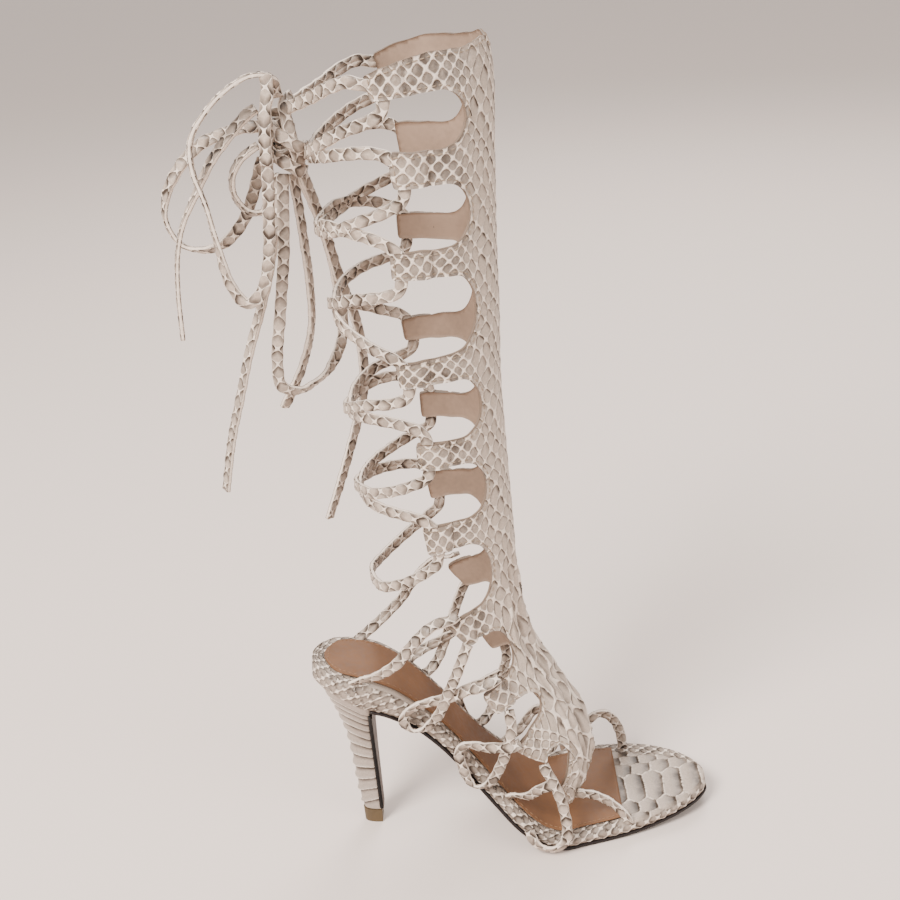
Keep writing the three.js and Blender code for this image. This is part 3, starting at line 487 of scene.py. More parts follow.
def monotone(x, y):
    """A smooth curve through x and y that never overshoots."""
    x, y = np.array(x, float), np.array(y, float)
    slope = np.diff(y) / np.diff(x)
    tangent = np.concatenate([[slope[0]], np.zeros(len(x) - 2), [slope[-1]]])
    before, after = np.diff(x)[:-1], np.diff(x)[1:]
    same = slope[:-1] * slope[1:] > 0
    a, b = 2 * after + before, after + 2 * before
    safe = np.where(same, slope[:-1], 1), np.where(same, slope[1:], 1)
    tangent[1:-1] = np.where(same, (a + b) / (a / safe[0] + b / safe[1]), 0)

    def at(value):
        value = np.clip(value, x[0], x[-1])
        i = np.clip(np.searchsorted(x, value, "right") - 1, 0, len(x) - 2)
        step = x[i + 1] - x[i]
        t = (value - x[i]) / step
        u = 1 - t
        return (y[i] * (1 + 2 * t) * u * u + step * tangent[i] * t * u * u
                + y[i + 1] * t * t * (3 - 2 * t) - step * tangent[i + 1] * t * t * u)
    return at


form_rows = np.array(FORM, float)
form_down = distances(form_rows[:, :3]) - PEAK_RISE
form_x, form_y, form_z, form_lean, form_depth, form_half = (
    monotone(form_down, column) for column in form_rows.T)
# A table of the angle round each section against the distance from its front.
FARTHEST_AROUND = 130
table_down = np.linspace(form_down[0], form_down[-1], 180)
table_angle = np.radians(np.linspace(0, 180, 181))
table_middle = (table_angle[1:] + table_angle[:-1]) / 2
angle_table = []
for down in table_down:
    steps = np.hypot(form_depth(down) * np.sin(table_middle), form_half(down) * np.cos(table_middle))
    around = np.concatenate([[0], np.cumsum(steps * np.diff(table_angle))])
    angle_table.append(np.interp(np.arange(FARTHEST_AROUND + 1), around, table_angle))
angle_table = np.array(angle_table)


def form_point(down, around):
    """The place on the form at a distance down its front and around it, inner side positive."""
    row = np.clip((down - table_down[0]) / (table_down[1] - table_down[0]), 0, len(table_down) - 1.001)
    column = np.clip(np.abs(around), 0, FARTHEST_AROUND - 0.001)
    i, j = row.astype(int), column.astype(int)
    f, g = row - i, column - j
    angle = ((angle_table[i, j] * (1 - g) + angle_table[i, j + 1] * g) * (1 - f)
             + (angle_table[i + 1, j] * (1 - g) + angle_table[i + 1, j + 1] * g) * f) * np.sign(around)
    lean = np.radians(form_lean(down))
    inward = form_depth(down) * (1 - np.cos(angle))
    return np.stack([form_x(down) - np.cos(lean) * inward, form_y(down) + form_half(down) * np.sin(angle),
                     form_z(down) - np.sin(lean) * inward], -1)


def form_out(down, around):
    down_way = form_point(down + 0.8, around) - form_point(down - 0.8, around)
    around_way = form_point(down, around + 0.8) - form_point(down, around - 0.8)
    return unit(np.cross(down_way, around_way))


TABS = [  # top and bottom at the root, then the outer corners: down and around, down and around
    (0, 16, 7.5, 77.5, 18.3, 75.6), (41.5, 57, 40.5, 69.5, 56.3, 67), (86, 99.5, 85.5, 69.8, 98, 69.2),
    (137, 150.5, 140, 69.6, 151.6, 68), (181.5, 195, 181, 62.2, 194.6, 62), (225, 239.5, 227, 63, 242, 61),
    (275.4, 289.4, 280, 56, 291, 47.5), (313.7, 327, 315, 50.6, 325.5, 49.8),
    (342, 360.6, 347, 54.6, 364.8, 45.8),
]
SEAMS = [60, 51, 50.5, 53.5, 46, 48, 41, 37, 42]  # around, where each tab's tunnel is stitched
CUTOUTS = [  # middle, distance of the inner end from the spine's middle, how far its rounding reaches
    (29.5, 32, 13), (72, 30, 13), (117.5, 27.8, 13), (167, 27, 13), (209.6, 27.2, 12), (257.5, 28, 12),
    (303, 24, 11), (334, 25, 11), (371, 31, 8),
]
TOP_EDGE = [(0, 4), (6.4, 0), (12.8, -2.5), (19.2, -1.6), (25.6, -0.4), (32, 0), (46, 0)]  # around, down
FRONT_EDGE = [(40.5, 397), (30, 415.5), (22.5, 405.5), (15.5, 397), (8, 389.5), (0, 386)]
TOP_MIDDLE = 4.0  # down, where the top edge dips at the spine's middle
TOP_LEVEL_END = 46  # around, where the top edge starts down to the first tab's corner
OUTLINE_STEP = 0.9
PATCH_STEP, LINING_STEP = 0.95, 1.7
WALL = 1.5

right_side = [(TOP_MIDDLE, 0.0)]
top_curve = monotone([a for a, _ in TOP_EDGE], [d for _, d in TOP_EDGE])
for around in np.arange(OUTLINE_STEP, TOP_LEVEL_END, OUTLINE_STEP):
    right_side.append((float(top_curve(around)), float(around)))
for around in np.arange(TOP_LEVEL_END, TABS[0][3], OUTLINE_STEP):
    share = (around - TOP_LEVEL_END) / (TABS[0][3] - TOP_LEVEL_END)
    right_side.append((share**1.5 * TABS[0][2], float(around)))


def run_to(end):
    """Adds evenly spaced points from the right side's last point to the end."""
    start, end = np.array(right_side[-1]), np.array(end)
    count = max(int(np.hypot(*(end - start)) / OUTLINE_STEP), 1)
    right_side.extend(tuple(start + (end - start) * (k + 1) / count) for k in range(count))


def round_off(middle, edge, spine, reach, degrees):
    """Adds a quarter of a cut-out's rounded inner end."""
    for angle in np.radians(degrees):
        right_side.append((middle + (edge - middle) * math.sin(angle), spine + reach * (1 - math.cos(angle))))


for tab, (middle, spine, reach), following in zip(TABS, CUTOUTS, TABS[1:] + [None]):
    run_to((tab[2], tab[3]))
    run_to((tab[4], tab[5]))
    run_to((tab[1], spine + reach))
    round_off(middle, tab[1], spine, reach, np.arange(84, -1, -6))
    if following:
        round_off(middle, following[0], spine, reach, np.arange(6, 91, 6))
for around, down in FRONT_EDGE:
    run_to((down, around))
outline = np.array(right_side + [(d, -a) for d, a in right_side[-2:0:-1]])
# The corners are trimmed a little round, and the cut edge wavers as hand-cut leather does.
for _ in range(3):
    outline = 0.5 * outline + 0.25 * (np.roll(outline, 1, 0) + np.roll(outline, -1, 0))
outline[:, 0] += 0.22 * wobble(outline[:, 0] / 2.1, outline[:, 1] / 2.3, 4)


def within(points, loop, margin):
    """Which points lie inside the loop by more than the margin."""
    start, end = loop, np.roll(loop, -1, 0)
    inside = np.zeros(len(points), bool)
    far = np.ones(len(points), bool)
    for k in range(0, len(points), 2000):
        p = points[k:k + 2000, None, :]
        a, b = start[None], end[None]
        spans = (a[..., 0] > p[..., 0]) != (b[..., 0] > p[..., 0])
        slope = (b[..., 1] - a[..., 1]) / np.where(b[..., 0] == a[..., 0], 1e-9, b[..., 0] - a[..., 0])
        crossing = a[..., 1] + (p[..., 0] - a[..., 0]) * slope
        inside[k:k + 2000] = np.sum(spans & (p[..., 1] < crossing), 1) % 2 == 1
        far[k:k + 2000] = np.min(np.sum((p - a) ** 2, 2), 1) > margin**2
    return inside & far


def filled(loop, step):
    """A flat mesh that fills the loop: its points, the loop's first, and its triangles."""
    low, high = loop.min(0), loop.max(0)
    rows = np.arange(low[0], high[0], step * 0.866)
    columns = np.arange(low[1], high[1], step)
    grid = np.array([(r, c + (step / 2 if i % 2 else 0)) for i, r in enumerate(rows) for c in columns])
    grid = grid[within(grid, loop, 0.62 * step)]
    points = np.vstack([loop, grid])
    found = delaunay_2d_cdt([Vector(p) for p in points], [], [list(range(len(loop)))], 1, 1e-5)
    places = np.array([tuple(p) for p in found[0]])
    if len(places) != len(points):
        raise ValueError("the outline crosses itself")
    return points, [tuple(face) for face in found[2]]


def smoothstep(low, high, value):
    t = np.clip((value - low) / (high - low), 0, 1)
    return t * t * (3 - 2 * t)


SPINE_HALF = 26  # around, where the spine's scales end
TAB_SCALE_TALL, TAB_SCALE_WIDE = 7.2, 6.6
FRONT_MIDDLE = 402.0  # down, the middle of the part ahead of the last tabs
SPINE_SCALES = [  # down, and how tall and wide the spine's scales are there
    (-10, 11, 9), (230, 11, 9), (275, 15, 8), (300, 21, 7.5), (335, 19, 9), (370, 21, 12), (420, 17, 10),
]
tab_middles = np.array([(t[0] + t[1] + t[2] + t[4]) / 4 for t in TABS] + [FRONT_MIDDLE])
scale_tall, scale_wide = (monotone([row[0] for row in SPINE_SCALES], [row[k] for row in SPINE_SCALES])
                          for k in (1, 2))
down_table = np.arange(-12, 425, 1.0)
rows_gone = np.concatenate([[0], np.cumsum(1.0 / scale_tall(down_table[:-1] + 0.5))])


def upper_lattice(down, around):
    """Lattice numbers of the upper's scales: diamonds on the spine, smaller ones on the tabs."""
    size = np.abs(around)
    nearest = np.argmin(np.abs(down[:, None] - tab_middles[None]), 1)
    centre = tab_middles[nearest]
    q_spine = np.interp(down, down_table, rows_gone)
    q_tab = np.interp(centre, down_table, rows_gone) + (down - centre) / TAB_SCALE_TALL
    share = smoothstep(24, 40, size)
    q = q_spine * (1 - share) + q_tab * share
    wide = scale_wide(down)
    p = np.where(size < SPINE_HALF, size / wide, SPINE_HALF / wide + (size - SPINE_HALF) / TAB_SCALE_WIDE)
    p = p * np.sign(around)
    p = p + 0.17 * wobble(down / 5.6, around / 5.1, 1) * smoothstep(0, 5, size)
    q = q + 0.17 * wobble(down / 6.3, around / 5.4, 2)
    return q + p, q - p, share * (1 - 0.5 * smoothstep(300, 350, down))


CREASES = [  # long folds in the leather over the instep and vamp: down, around to down, around, width, depth
    (244, 2, 296, 4, 1.2, -0.7), (250, -9, 300, -8, 1.3, 0.9), (256, -3, 312, -2, 1.2, -0.9),
    (258, 9, 306, 11, 1.3, 0.8), (262, -14, 318, -15, 1.2, -0.8), (268, 5, 330, 7, 1.4, -1.0),
    (270, 0, 324, 2, 1.3, 1.0), (272, -18, 326, -20, 1.3, 0.8), (280, 14, 336, 16, 1.3, 0.9),
    (286, -6, 340, -6, 1.4, 1.1), (292, -11, 346, -11, 1.2, -1.0), (298, 18, 345, 20, 1.2, -0.8),
    (304, 10, 356, 12, 1.5, 1.0), (308, -1, 358, 0, 1.5, -0.9), (314, -15, 366, -17, 1.6, 1.0),
    (322, 4, 376, 5, 1.7, 0.9), (326, 21, 372, 25, 1.5, 0.9), (334, -21, 384, -24, 1.6, 1.0),
    (340, -7, 392, -8, 1.8, 1.0), (344, 14, 392, 17, 1.8, -0.9), (352, -13, 398, -17, 1.7, -1.0),
    (356, 9, 402, 12, 1.9, 1.0), (360, 28, 394, 31, 1.5, -0.8), (362, -28, 402, -32, 1.8, 1.0),
    (368, -2, 392, -3, 1.8, -0.9), (372, 22, 406, 26, 1.8, 0.9), (378, -21, 406, -26, 1.7, -0.8),
]
CREASE_DEPTH = 1.6  # of a fold of depth 1
TUNNEL_RISE, SEAM_PULL, SEAM_WIDE = 2.3, 1.0, 0.85
UPPER_RELIEF, UNEVEN = 0.8, 0.35


def crease_depth(down, around):
    total = np.zeros(len(down))
    for d0, a0, d1, a1, width, depth in CREASES:
        t = np.clip((down - d0) / (d1 - d0), -0.2, 1.2)
        middle = a0 + (a1 - a0) * t + 1.2 * np.sin(t * 5 + d0)
        fade = smoothstep(-0.15, 0.15, t) * smoothstep(1.15, 0.85, t)
        total += CREASE_DEPTH * depth * fade * np.exp(-((around - middle) / width) ** 2)
    return total


def tunnel_lift(down, around):
    """How far the folded tab ends stand up over the lace, and how deep the stitched seam pulls in."""
    size = np.abs(around)
    lift = np.zeros(len(down))
    for (root_top, root_bottom, top_down, top_around, bottom_down, bottom_around), seam in zip(TABS, SEAMS):
        near = (down > min(root_top, top_down) - 3) & (down < max(root_bottom, bottom_down) + 3)
        end = top_around + (bottom_around - top_around) * (down - top_down) / (bottom_down - top_down)
        t = np.clip((size - seam) / (end - seam), 0, 1)
        raised = TUNNEL_RISE * np.sqrt(np.clip(np.sin(np.pi * 0.93 * t), 0, 1))
        pull = -SEAM_PULL * np.exp(-((size - seam) / SEAM_WIDE) ** 2)
        lift += np.where(near & (size > seam - 4), raised * (t > 0) + pull, 0)
    return lift


def upper_face(points):
    """Places on the upper's outside: its scales, folds, tunnels and slow unevenness."""
    down, around = points.T
    a, b, _ = upper_lattice(down, around)
    lift = UPPER_RELIEF * (emboss(*lattice(a, b)) - 0.55) + crease_depth(down, around)
    lift += tunnel_lift(down, around) + UNEVEN * wobble(down / 17, around / 13, 7)
    return form_point(down, around) + form_out(down, around) * lift[:, None]


points, triangles = filled(outline, PATCH_STEP)
outer = upper_face(points)
a, b, kind = upper_lattice(*points.T)
# Painted shade: the scales are made darker along the troughs of the folds.
kind = kind + np.clip(-0.8 * crease_depth(*points.T), 0, 0.9)
inner_points, inner_triangles = filled(outline, LINING_STEP)
inner_lift = crease_depth(*inner_points.T) - WALL
inner = form_point(*inner_points.T) + form_out(*inner_points.T) * inner_lift[:, None]
rim = len(outline)
verts = np.vstack([outer, inner, 0.5 * (outer[:rim] + inner[:rim])])
inner_base, rim_base = len(outer), len(outer) + len(inner)
faces = triangles + [tuple(i + inner_base for i in face[::-1]) for face in inner_triangles]
for k in range(rim):
    n = (k + 1) % rim
    faces.append((k, rim_base + k, rim_base + n, n))
    faces.append((rim_base + k, inner_base + k, inner_base + n, rim_base + n))
face_slots = [0] * len(triangles) + [1] * len(inner_triangles) + [2] * (2 * rim)
scales = np.vstack([np.stack([a, b, kind], 1), np.zeros((len(inner) + rim, 3))])

# Smooth leather, thread and rubber: a colour that clouds a little, and fine pores.
smooth_finish, entry, leave = new_group(
    "smooth_finish", {
        "Dim Color": ("Color", (0.2, 0.15, 0.1, 1)), "Lit Color": ("Color", (0.3, 0.2, 0.15, 1)),
        "Least Roughness": ("Float", 0.5), "Most Roughness": ("Float", 0.6)},
    {"Color": "Color", "Roughness": "Float", "Height": "Float"})
tree = smooth_finish
clouds, pores = noise(tree, 38.0, 3.0), noise(tree, 420.0, 3.0)
both = maths(tree, "MULTIPLY_ADD", pores, 0.3, times(tree, clouds, 0.7))
cloudy = mixed(tree, ramp(tree, both, 0.3, 0.7), entry["Dim Color"], entry["Lit Color"])
rough = ramp(tree, pores, 0.3, 0.7, entry["Least Roughness"], entry["Most Roughness"])
join(tree, leave, {"Color": cloudy, "Roughness": rough, "Height": pores})


def plain_leather(name, colour, roughness, bump=0.0):
    """Smooth leather of one colour that varies a little. bump is how deep its pores look."""
    material, tree, shader = new_material(name)
    values = {"Dim Color": (*(0.76 * c for c in colour), 1), "Lit Color": (*(1.12 * c for c in colour), 1),
              "Least Roughness": roughness - 0.06, "Most Roughness": roughness + 0.08}
    finish_with(tree, shader, smooth_finish, values, specular=0.3, bump=bump, depth=0.0004)
    return material


upper = make_object("upper_shell", verts, faces, [
    scaled_leather("upper_leather", {}), plain_leather("lining_leather", (0.31, 0.215, 0.155), 0.65, 0.12),
    plain_leather("edge_paint", (0.20, 0.14, 0.10), 0.55, 0.05)], face_slots, scales=scales)
take_place(upper, "upper")


def stitches(name, places, ways, outs, material, long=1.1, wide=0.32):
    """Short stitches: where each lies, the way it runs and the way it faces."""
    around_shape = [(math.cos(t), math.sin(t)) for t in np.radians(np.arange(0, 360, 60))]
    shape = np.array([(along_share * long, c * wide * size, h * wide * size)
                      for along_share, size in ((-1, 0.45), (-0.5, 1.0), (0.5, 1.0), (1, 0.45))
                      for c, h in around_shape])
    one = ring_faces(4, 6) + [tuple(range(6))[::-1], tuple(range(18, 24))]
    sides = np.cross(outs, ways)
    verts = (places[:, None] + ways[:, None] * shape[None, :, :1] + sides[:, None] * shape[None, :, 1:2]
             + outs[:, None] * shape[None, :, 2:])
    faces = [tuple(24 * i + v for v in face) for i in range(len(places)) for face in one]
    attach(make_object(name, verts.reshape(-1, 3), faces, [material]), "root")


EDGE_INSET, STITCH_STEP, TUNNEL_STEP = 1.9, 3.3, 2.6
turned = np.roll(outline, -2, 0) - np.roll(outline, 2, 0)
seam_line = outline + unit(np.stack([turned[:, 1], -turned[:, 0]], 1)) * EDGE_INSET
at = np.arange(2, distances(seam_line)[-1], STITCH_STEP)
edge_seam = places_along(seam_line, at)
edge_way = places_along(seam_line, at + 0.8) - edge_seam
tunnel_seams = []
for (root_top, root_bottom, top_down, _, bottom_down, _), middle in zip(TABS, SEAMS):
    rows = np.arange(max(root_top, top_down) + 1.8, min(root_bottom, bottom_down) - 1.4, TUNNEL_STEP)
    tunnel_seams += [np.stack([rows, 0 * rows + middle * side], 1) for side in (-1, 1)]
tunnel_seam = np.vstack(tunnel_seams)
tunnel_way = np.tile([0.8, 0.0], (len(tunnel_seam), 1))
edge_thread = plain_leather("thread", (0.30, 0.225, 0.16), 0.6)
# The tunnel seams' thread is darker than the edge thread: partly its own colour and partly painted shade
# along the pulled-in seam.
tunnel_thread_and_seam_shade = plain_leather("tunnel_thread_and_seam_shade", (0.10, 0.072, 0.05), 0.6)
for name, seam, ways, thread in (("upper_stitches", edge_seam, edge_way, edge_thread),
                                 ("tunnel_stitches", tunnel_seam, tunnel_way, tunnel_thread_and_seam_shade)):
    keep = within(seam, outline, 1.2)
    seam, ways = seam[keep], ways[keep]
    outs = form_out(*seam.T)
    ways = unit(form_point(*(seam + ways).T) - form_point(*seam.T))
    stitches(name, upper_face(seam) + 0.1 * outs, ways, outs, thread)

# ---------------------------------------------------------------------------
# The laces behind the leg: the same flat lace, out of one tunnel and round
# the calf to the next tab on the other side, so that the two runs cross.
# ---------------------------------------------------------------------------
LACE_LIFT = 0.5
# Each run goes from a lower mouth, past the middle of the back, whose distance down stands alone, to the
# next upper mouth. The stops are distances down and around.
CROSSINGS = [
    ([(15, 69.5), (19.3, 70.3), (23.4, 71.5), (27, 78), (31, 90), (38.5, 107)], 45,
     [(43, 105), (40.6, 89), (40.2, 78), (41.8, 70.5), (46, 65)]),
    ([(54, 61.6), (58.1, 62.3), (62, 63.5), (66, 70), (72, 86), (78, 103)], 79.5,
     [(75, 104), (76.2, 89), (79.2, 77), (83, 69.4), (88, 64.5)]),
    ([(96, 64.5), (100.2, 65), (103.8, 66.4), (106.4, 74), (108.6, 88), (113, 104)], 118,
     [(122.5, 106), (127, 93), (133, 79.5), (137.4, 69.4), (142, 65)]),
    ([(149, 63), (153.1, 63.5), (156.8, 65), (159.6, 72), (163, 88), (168, 102)], 172.5,
     [(171, 100), (169.4, 86), (169.8, 74), (172.2, 64), (175.8, 58.4), (179.4, 57), (184, 56.5)]),
    ([(192, 56.5), (196.1, 57), (199.8, 58.5), (203, 65), (208, 78), (212, 92)], 215,
     [(217.4, 94), (218.6, 84), (220, 73), (223, 62), (228, 57)]),
]
BAR, BAR_MIDDLE = [(239, 55.5), (243.3, 56), (247.2, 57.2), (251.6, 63), (258, 75), (263.4, 92)], 267
TIE = [(11.5, 72), (11, 78.8), (9.8, 85), (12.5, 96), (17, 108)]
TIE_END = (3.0, 8.0, 407.5)  # x, distance out from the middle, z


def on_leg(stops, side):
    """Places a little outside the leg, for stops of down and around."""
    down, around = np.array(stops, float).T
    return form_point(down, around * side) + form_out(down, around * side) * LACE_LIFT


def back_middle(down):
    return np.array([form_x(down) - 2 * form_depth(down) - 0.5, form_y(down), form_z(down)])


def away_from_leg(points):
    down = np.interp(-points[:, 2], -form_rows[:, 2], form_down)
    axis = np.stack([form_x(down) - form_depth(down), form_y(down), points[:, 2]], 1)
    return unit(points - axis)


for k, (leave_stops, middle, reach_stops) in enumerate(CROSSINGS):
    runs = []
    # One run lies on the other, most at the middle of the back.
    for side, extra in ((1, 1.25), (-1, -1.0)):
        stops = np.vstack([on_leg(leave_stops, -1), back_middle(middle), on_leg(reach_stops, 1)])
        route, _ = smooth_line(stops * [1, side, 1])
        outs = away_from_leg(route)
        near = np.exp(-(route[:, 1] / 9.0) ** 2)[:, None]
        runs.append(strap(route + outs * near * extra, outs, 17.0 * k + 5 * side))
    lace_piece(f"back_crossing_{k + 1}_lace", runs, f"back_crossing_{k + 1}")

half_bar = np.vstack([on_leg(BAR, -1), back_middle(BAR_MIDDLE)])
route, _ = smooth_line(np.vstack([half_bar, (half_bar * [1, -1, 1])[-2::-1]]))
lace_piece("back_bar_lace", [strap(route, away_from_leg(route), 7)], "back_bar")
for side, word in ((1, "inner"), (-1, "outer")):
    route, _ = smooth_line(np.vstack([on_leg(TIE, side), np.array(TIE_END) * [1, side, 1]]))
    lace_piece(f"back_tie_{word}_lace", [strap(route, away_from_leg(route), 3 * side)], f"back_tie_{word}")

# ---------------------------------------------------------------------------
# The footbed: a board covered with the same embossed leather, a small cup at
# the heel and a bare platform at the toes with a row of wide belly scales.
# ---------------------------------------------------------------------------
FOOTBED = [  # x, height of the top, outer half width, inner half width, depth
    (-22.5, 113.5, 4, 4, 9), (-21, 113.3, 9.5, 9.5, 9), (-17, 112.7, 15.5, 15.5, 9.2),
    (-11, 111.6, 20.5, 20.5, 10), (-2, 109.4, 24, 24, 12), (10, 105.4, 25, 25, 14.5),
    (20, 99.6, 24, 24.3, 13), (30, 90.6, 22.4, 23, 10.5), (40, 80, 21.3, 21.5, 8), (52, 65, 21, 20.5, 6.8),
    (66, 45.5, 24, 22.5, 6.2), (78, 30, 29, 27, 6), (90, 17.4, 35.3, 32.5, 6), (100, 10.8, 38.6, 37, 6),
    (108, 8.5, 39, 40, 6), (122, 8.5, 36, 43.4, 6), (134, 8.5, 33, 44.6, 6), (148, 9.3, 29.2, 43.4, 6),
    (163, 11, 24, 38.8, 6), (175, 12.9, 18.6, 31, 6), (183, 14.4, 13.4, 23, 6), (188, 15.4, 8.4, 15.5, 6),
    (191, 16, 3.5, 9.5, 6), (192, 16.2, 0, 6, 6),
]
bed_top, bed_outer, bed_inner, bed_deep = (
    monotone([row[0] for row in FOOTBED], [row[k] for row in FOOTBED]) for k in (1, 2, 3, 4))


def on_sole(x, y, below):
    """A place at a distance below the footbed's top, square to its slope."""
    slope = bed_top(x + 0.5) - bed_top(x - 0.5)
    length = np.hypot(1, slope)
    return np.stack([x + slope / length * below, y + 0 * x, bed_top(x) - below / length], -1)


def sole_mesh(stations, section):
    """Rings across the sole. section(x) gives each ring's y and depth below the top, as a closed loop."""
    sections = [section(x) for x in stations]
    verts = np.vstack([on_sole(np.full(len(y), x), y, depth) for x, (y, depth) in zip(stations, sections)])
    count = len(sections[0][0])
    ends = [tuple(range(count)), tuple(range(len(verts) - count, len(verts)))[::-1]]
    return verts, ring_faces(len(stations), count, flip=True) + ends


def end_spaced(start, end, step, rounded):
    """Stations that crowd together towards the rounded one of the two ends."""
    t = np.linspace(0, 1, int((end - start) / step))
    if rounded == "start":
        t = np.where(t < 0.5, 0.5 * (2 * t) ** 1.6, t)
    else:
        t = np.where(t > 0.5, 1 - 0.5 * (2 - 2 * t) ** 1.6, t)
    return start + (end - start) * t


RIM_SIDE = 9  # rows up the rim's side
RIM_TOP = 84  # columns across the top
UNDERSIDE = 7  # columns across the underside
BULGE, ROLL_IN = 0.9, 0.9  # of the rim's side, and of its upper edge
EDGE_FLAT = 1.4  # from the rim's side to the top's flat part
LEAST_HALF = 0.8
RIM_SCALE_LONG, RIM_SCALE_TALL, RIM_RELIEF = 7.4, 6.6, 0.7
SOCK_RECESS = 0.3  # of the top where the sock hides it


def footbed_section(x):
    outer, inner = (max(float(half(x)), LEAST_HALF) for half in (bed_outer, bed_inner))
    deep = float(bed_deep(x))
    up = np.linspace(0, 1, RIM_SIDE)
    swell = BULGE * np.sin(np.pi * up) ** 0.7 - ROLL_IN * smoothstep(0.75, 1.0, up) - 0.5
    side_depth = deep - 0.15 - (deep - 0.5) * up
    across = np.linspace(-1, 1, RIM_TOP + 2)[1:-1]
    top_y = np.where(across < 0, across * (outer - EDGE_FLAT), across * (inner - EDGE_FLAT))
    top_depth = 0.45 - 0.45 * smoothstep(1.0, 0.93, np.abs(across))
    under = np.linspace(0.9, -0.9, UNDERSIDE)
    under_y = np.where(under < 0, under * outer, under * inner)
    return (np.concatenate([-outer - swell, top_y, (inner + swell)[::-1], under_y]),
            np.concatenate([side_depth, top_depth, side_depth[::-1], np.full(UNDERSIDE, deep - 0.1)]))


BELLY_PITCH = 10.6
BELLY_FIRST = 152.6  # x of the middle of the first whole belly scale
BELLY_MIDDLE = -1.0
TOE_ROWS = [0, 12.5, 21.5, 29, 36, 43], [0, 0.5, 1.5, 2.5, 3.5, 4.5]  # from the middle, and its row number


def toe_cells(x, y):
    """Inside and upper numbers of the toe's six-sided scales: one row of wide ones, and smaller ones."""
    off = y - BELLY_MIDDLE
    row = np.sign(off) * np.interp(np.abs(off), *TOE_ROWS)
    along = (x - BELLY_FIRST) / BELLY_PITCH - 0.10 * np.minimum(row**2, 1) + 0.06 * np.abs(row)
    along = along + 0.04 * wobble(x / 9, y / 8, 3)
    row = row + 0.05 * wobble(x / 7, y / 9, 8)
    first = np.full(np.shape(x), 9.0)
    second = np.full(np.shape(x), 9.0)
    ahead = np.zeros(np.shape(x))
    for step in (-1, 0, 1):
        centre_row = np.floor(row + 0.5) + step
        shift = 0.5 * (centre_row % 2)
        for hop in (-1, 0, 1):
            centre = np.floor(along - shift + 0.5) + shift + hop
            far = (along - centre) ** 2 + 1.3 * (row - centre_row) ** 2
            second = np.where(far < first, first, np.minimum(second, far))
            ahead = np.where(far < first, along - centre, ahead)
            first = np.minimum(first, far)
    # The upper number darkens each scale's toe-ward end: partly the skin's markings, partly painted shade.
    return second - first, np.clip(0.46 - ahead, 0, 1)


stations = np.unique(np.concatenate([
    end_spaced(-22.5, 60, 0.95, "start"), np.arange(60, 140, 1.0), end_spaced(140, 192, 0.6, "end")]))
verts, faces = sole_mesh(stations, footbed_section)
grid = verts.reshape(len(stations), -1, 3)
flat_x, flat_y = grid[..., 0], grid[..., 1]
station = np.broadcast_to(stations[:, None], flat_x.shape)
place = np.broadcast_to(np.arange(grid.shape[1]), flat_x.shape)
outer_side = place < RIM_SIDE
inner_side = (place >= RIM_SIDE + RIM_TOP) & (place < 2 * RIM_SIDE + RIM_TOP)
underside = place >= 2 * RIM_SIDE + RIM_TOP
on_top = (place >= RIM_SIDE - 2) & (place < RIM_SIDE + RIM_TOP + 2)

# The rim's small scales are counted along the foot and inwards from the lower edge.
along_rim = distances(grid[:, RIM_SIDE // 2])[:, None]
around_ring = np.cumsum(np.linalg.norm(np.diff(grid, axis=1, prepend=grid[:, :1]), axis=2), 1)
half_way = around_ring[:, RIM_SIDE + RIM_TOP // 2][:, None]
from_edge = np.where(around_ring < half_way, around_ring, 2 * half_way - around_ring)
p = along_rim / RIM_SCALE_LONG + 0.10 * wobble(along_rim / 6, from_edge / 5, 2)
q = from_edge / RIM_SCALE_TALL + 0.10 * wobble(along_rim / 7, from_edge / 4, 5)
inside, upper_share = lattice(p + q, p - q)
# The toes' platform has its own scales, and a smooth patch stays at the waist's outer edge.
toe_share = smoothstep(138, 143, station) * on_top * smoothstep(1.0, 4.5, from_edge)
plain = (smoothstep(8, 12, flat_x) * smoothstep(35, 30, flat_x) * (flat_y < 0)
         * smoothstep(2.0, 3.2, from_edge - bed_deep(flat_x) * 0.86))
for share, (own_inside, own_upper) in ((toe_share, toe_cells(station, flat_y)), (plain, (1.0, 1.0))):
    inside = inside * (1 - share) + own_inside * share
    upper_share = upper_share * (1 - share) + own_upper * share
out_way = unit(np.stack([0 * flat_x, 1.0 * inner_side - outer_side, 1.0 * on_top], -1))
under_sock = on_top & (station < 142) & (from_edge > 11.0)
lift = np.where(under_sock, -SOCK_RECESS, RIM_RELIEF * (emboss(inside, upper_share) - 0.5))
lift = np.where(underside, 0, lift)
tone = np.stack([inside, upper_share, 0.6 * (1 - toe_share) * (1 - plain)], -1)
rim_leather = scaled_leather(
    "rim_leather", {"Marks And Shadow Reach": 0.75, "Scale Color": (0.44, 0.35, 0.285, 1)}, "tone")
places = (grid + out_way * lift[..., None]).reshape(-1, 3)
footbed = make_object("footbed_cover", places, faces, [rim_leather], tone=tone)
take_place(footbed, "footbed")

# ---------------------------------------------------------------------------
# The sock: smooth tan leather glued on the footbed, stitched close to its
# edge. It stops short of the rim, and at the front it leaves the toes bare.
# ---------------------------------------------------------------------------
SOCK_BACK, SOCK_FRONT, SOCK_INSET, SOCK_THICK = -16.0, 143.0, 6.0, 0.9
SOCK_ROUND = 9.0  # the length of its rounded back
GLUE_LINE = 0.35  # between the board's top and the sock
SEAM_INSET, SEAM_STEP = 2.0, 2.8
sock_leather = plain_leather("sock_leather", (0.182, 0.084, 0.038), 0.55, 0.15)
sock_thread = plain_leather("sock_thread", (0.27, 0.15, 0.08), 0.6)


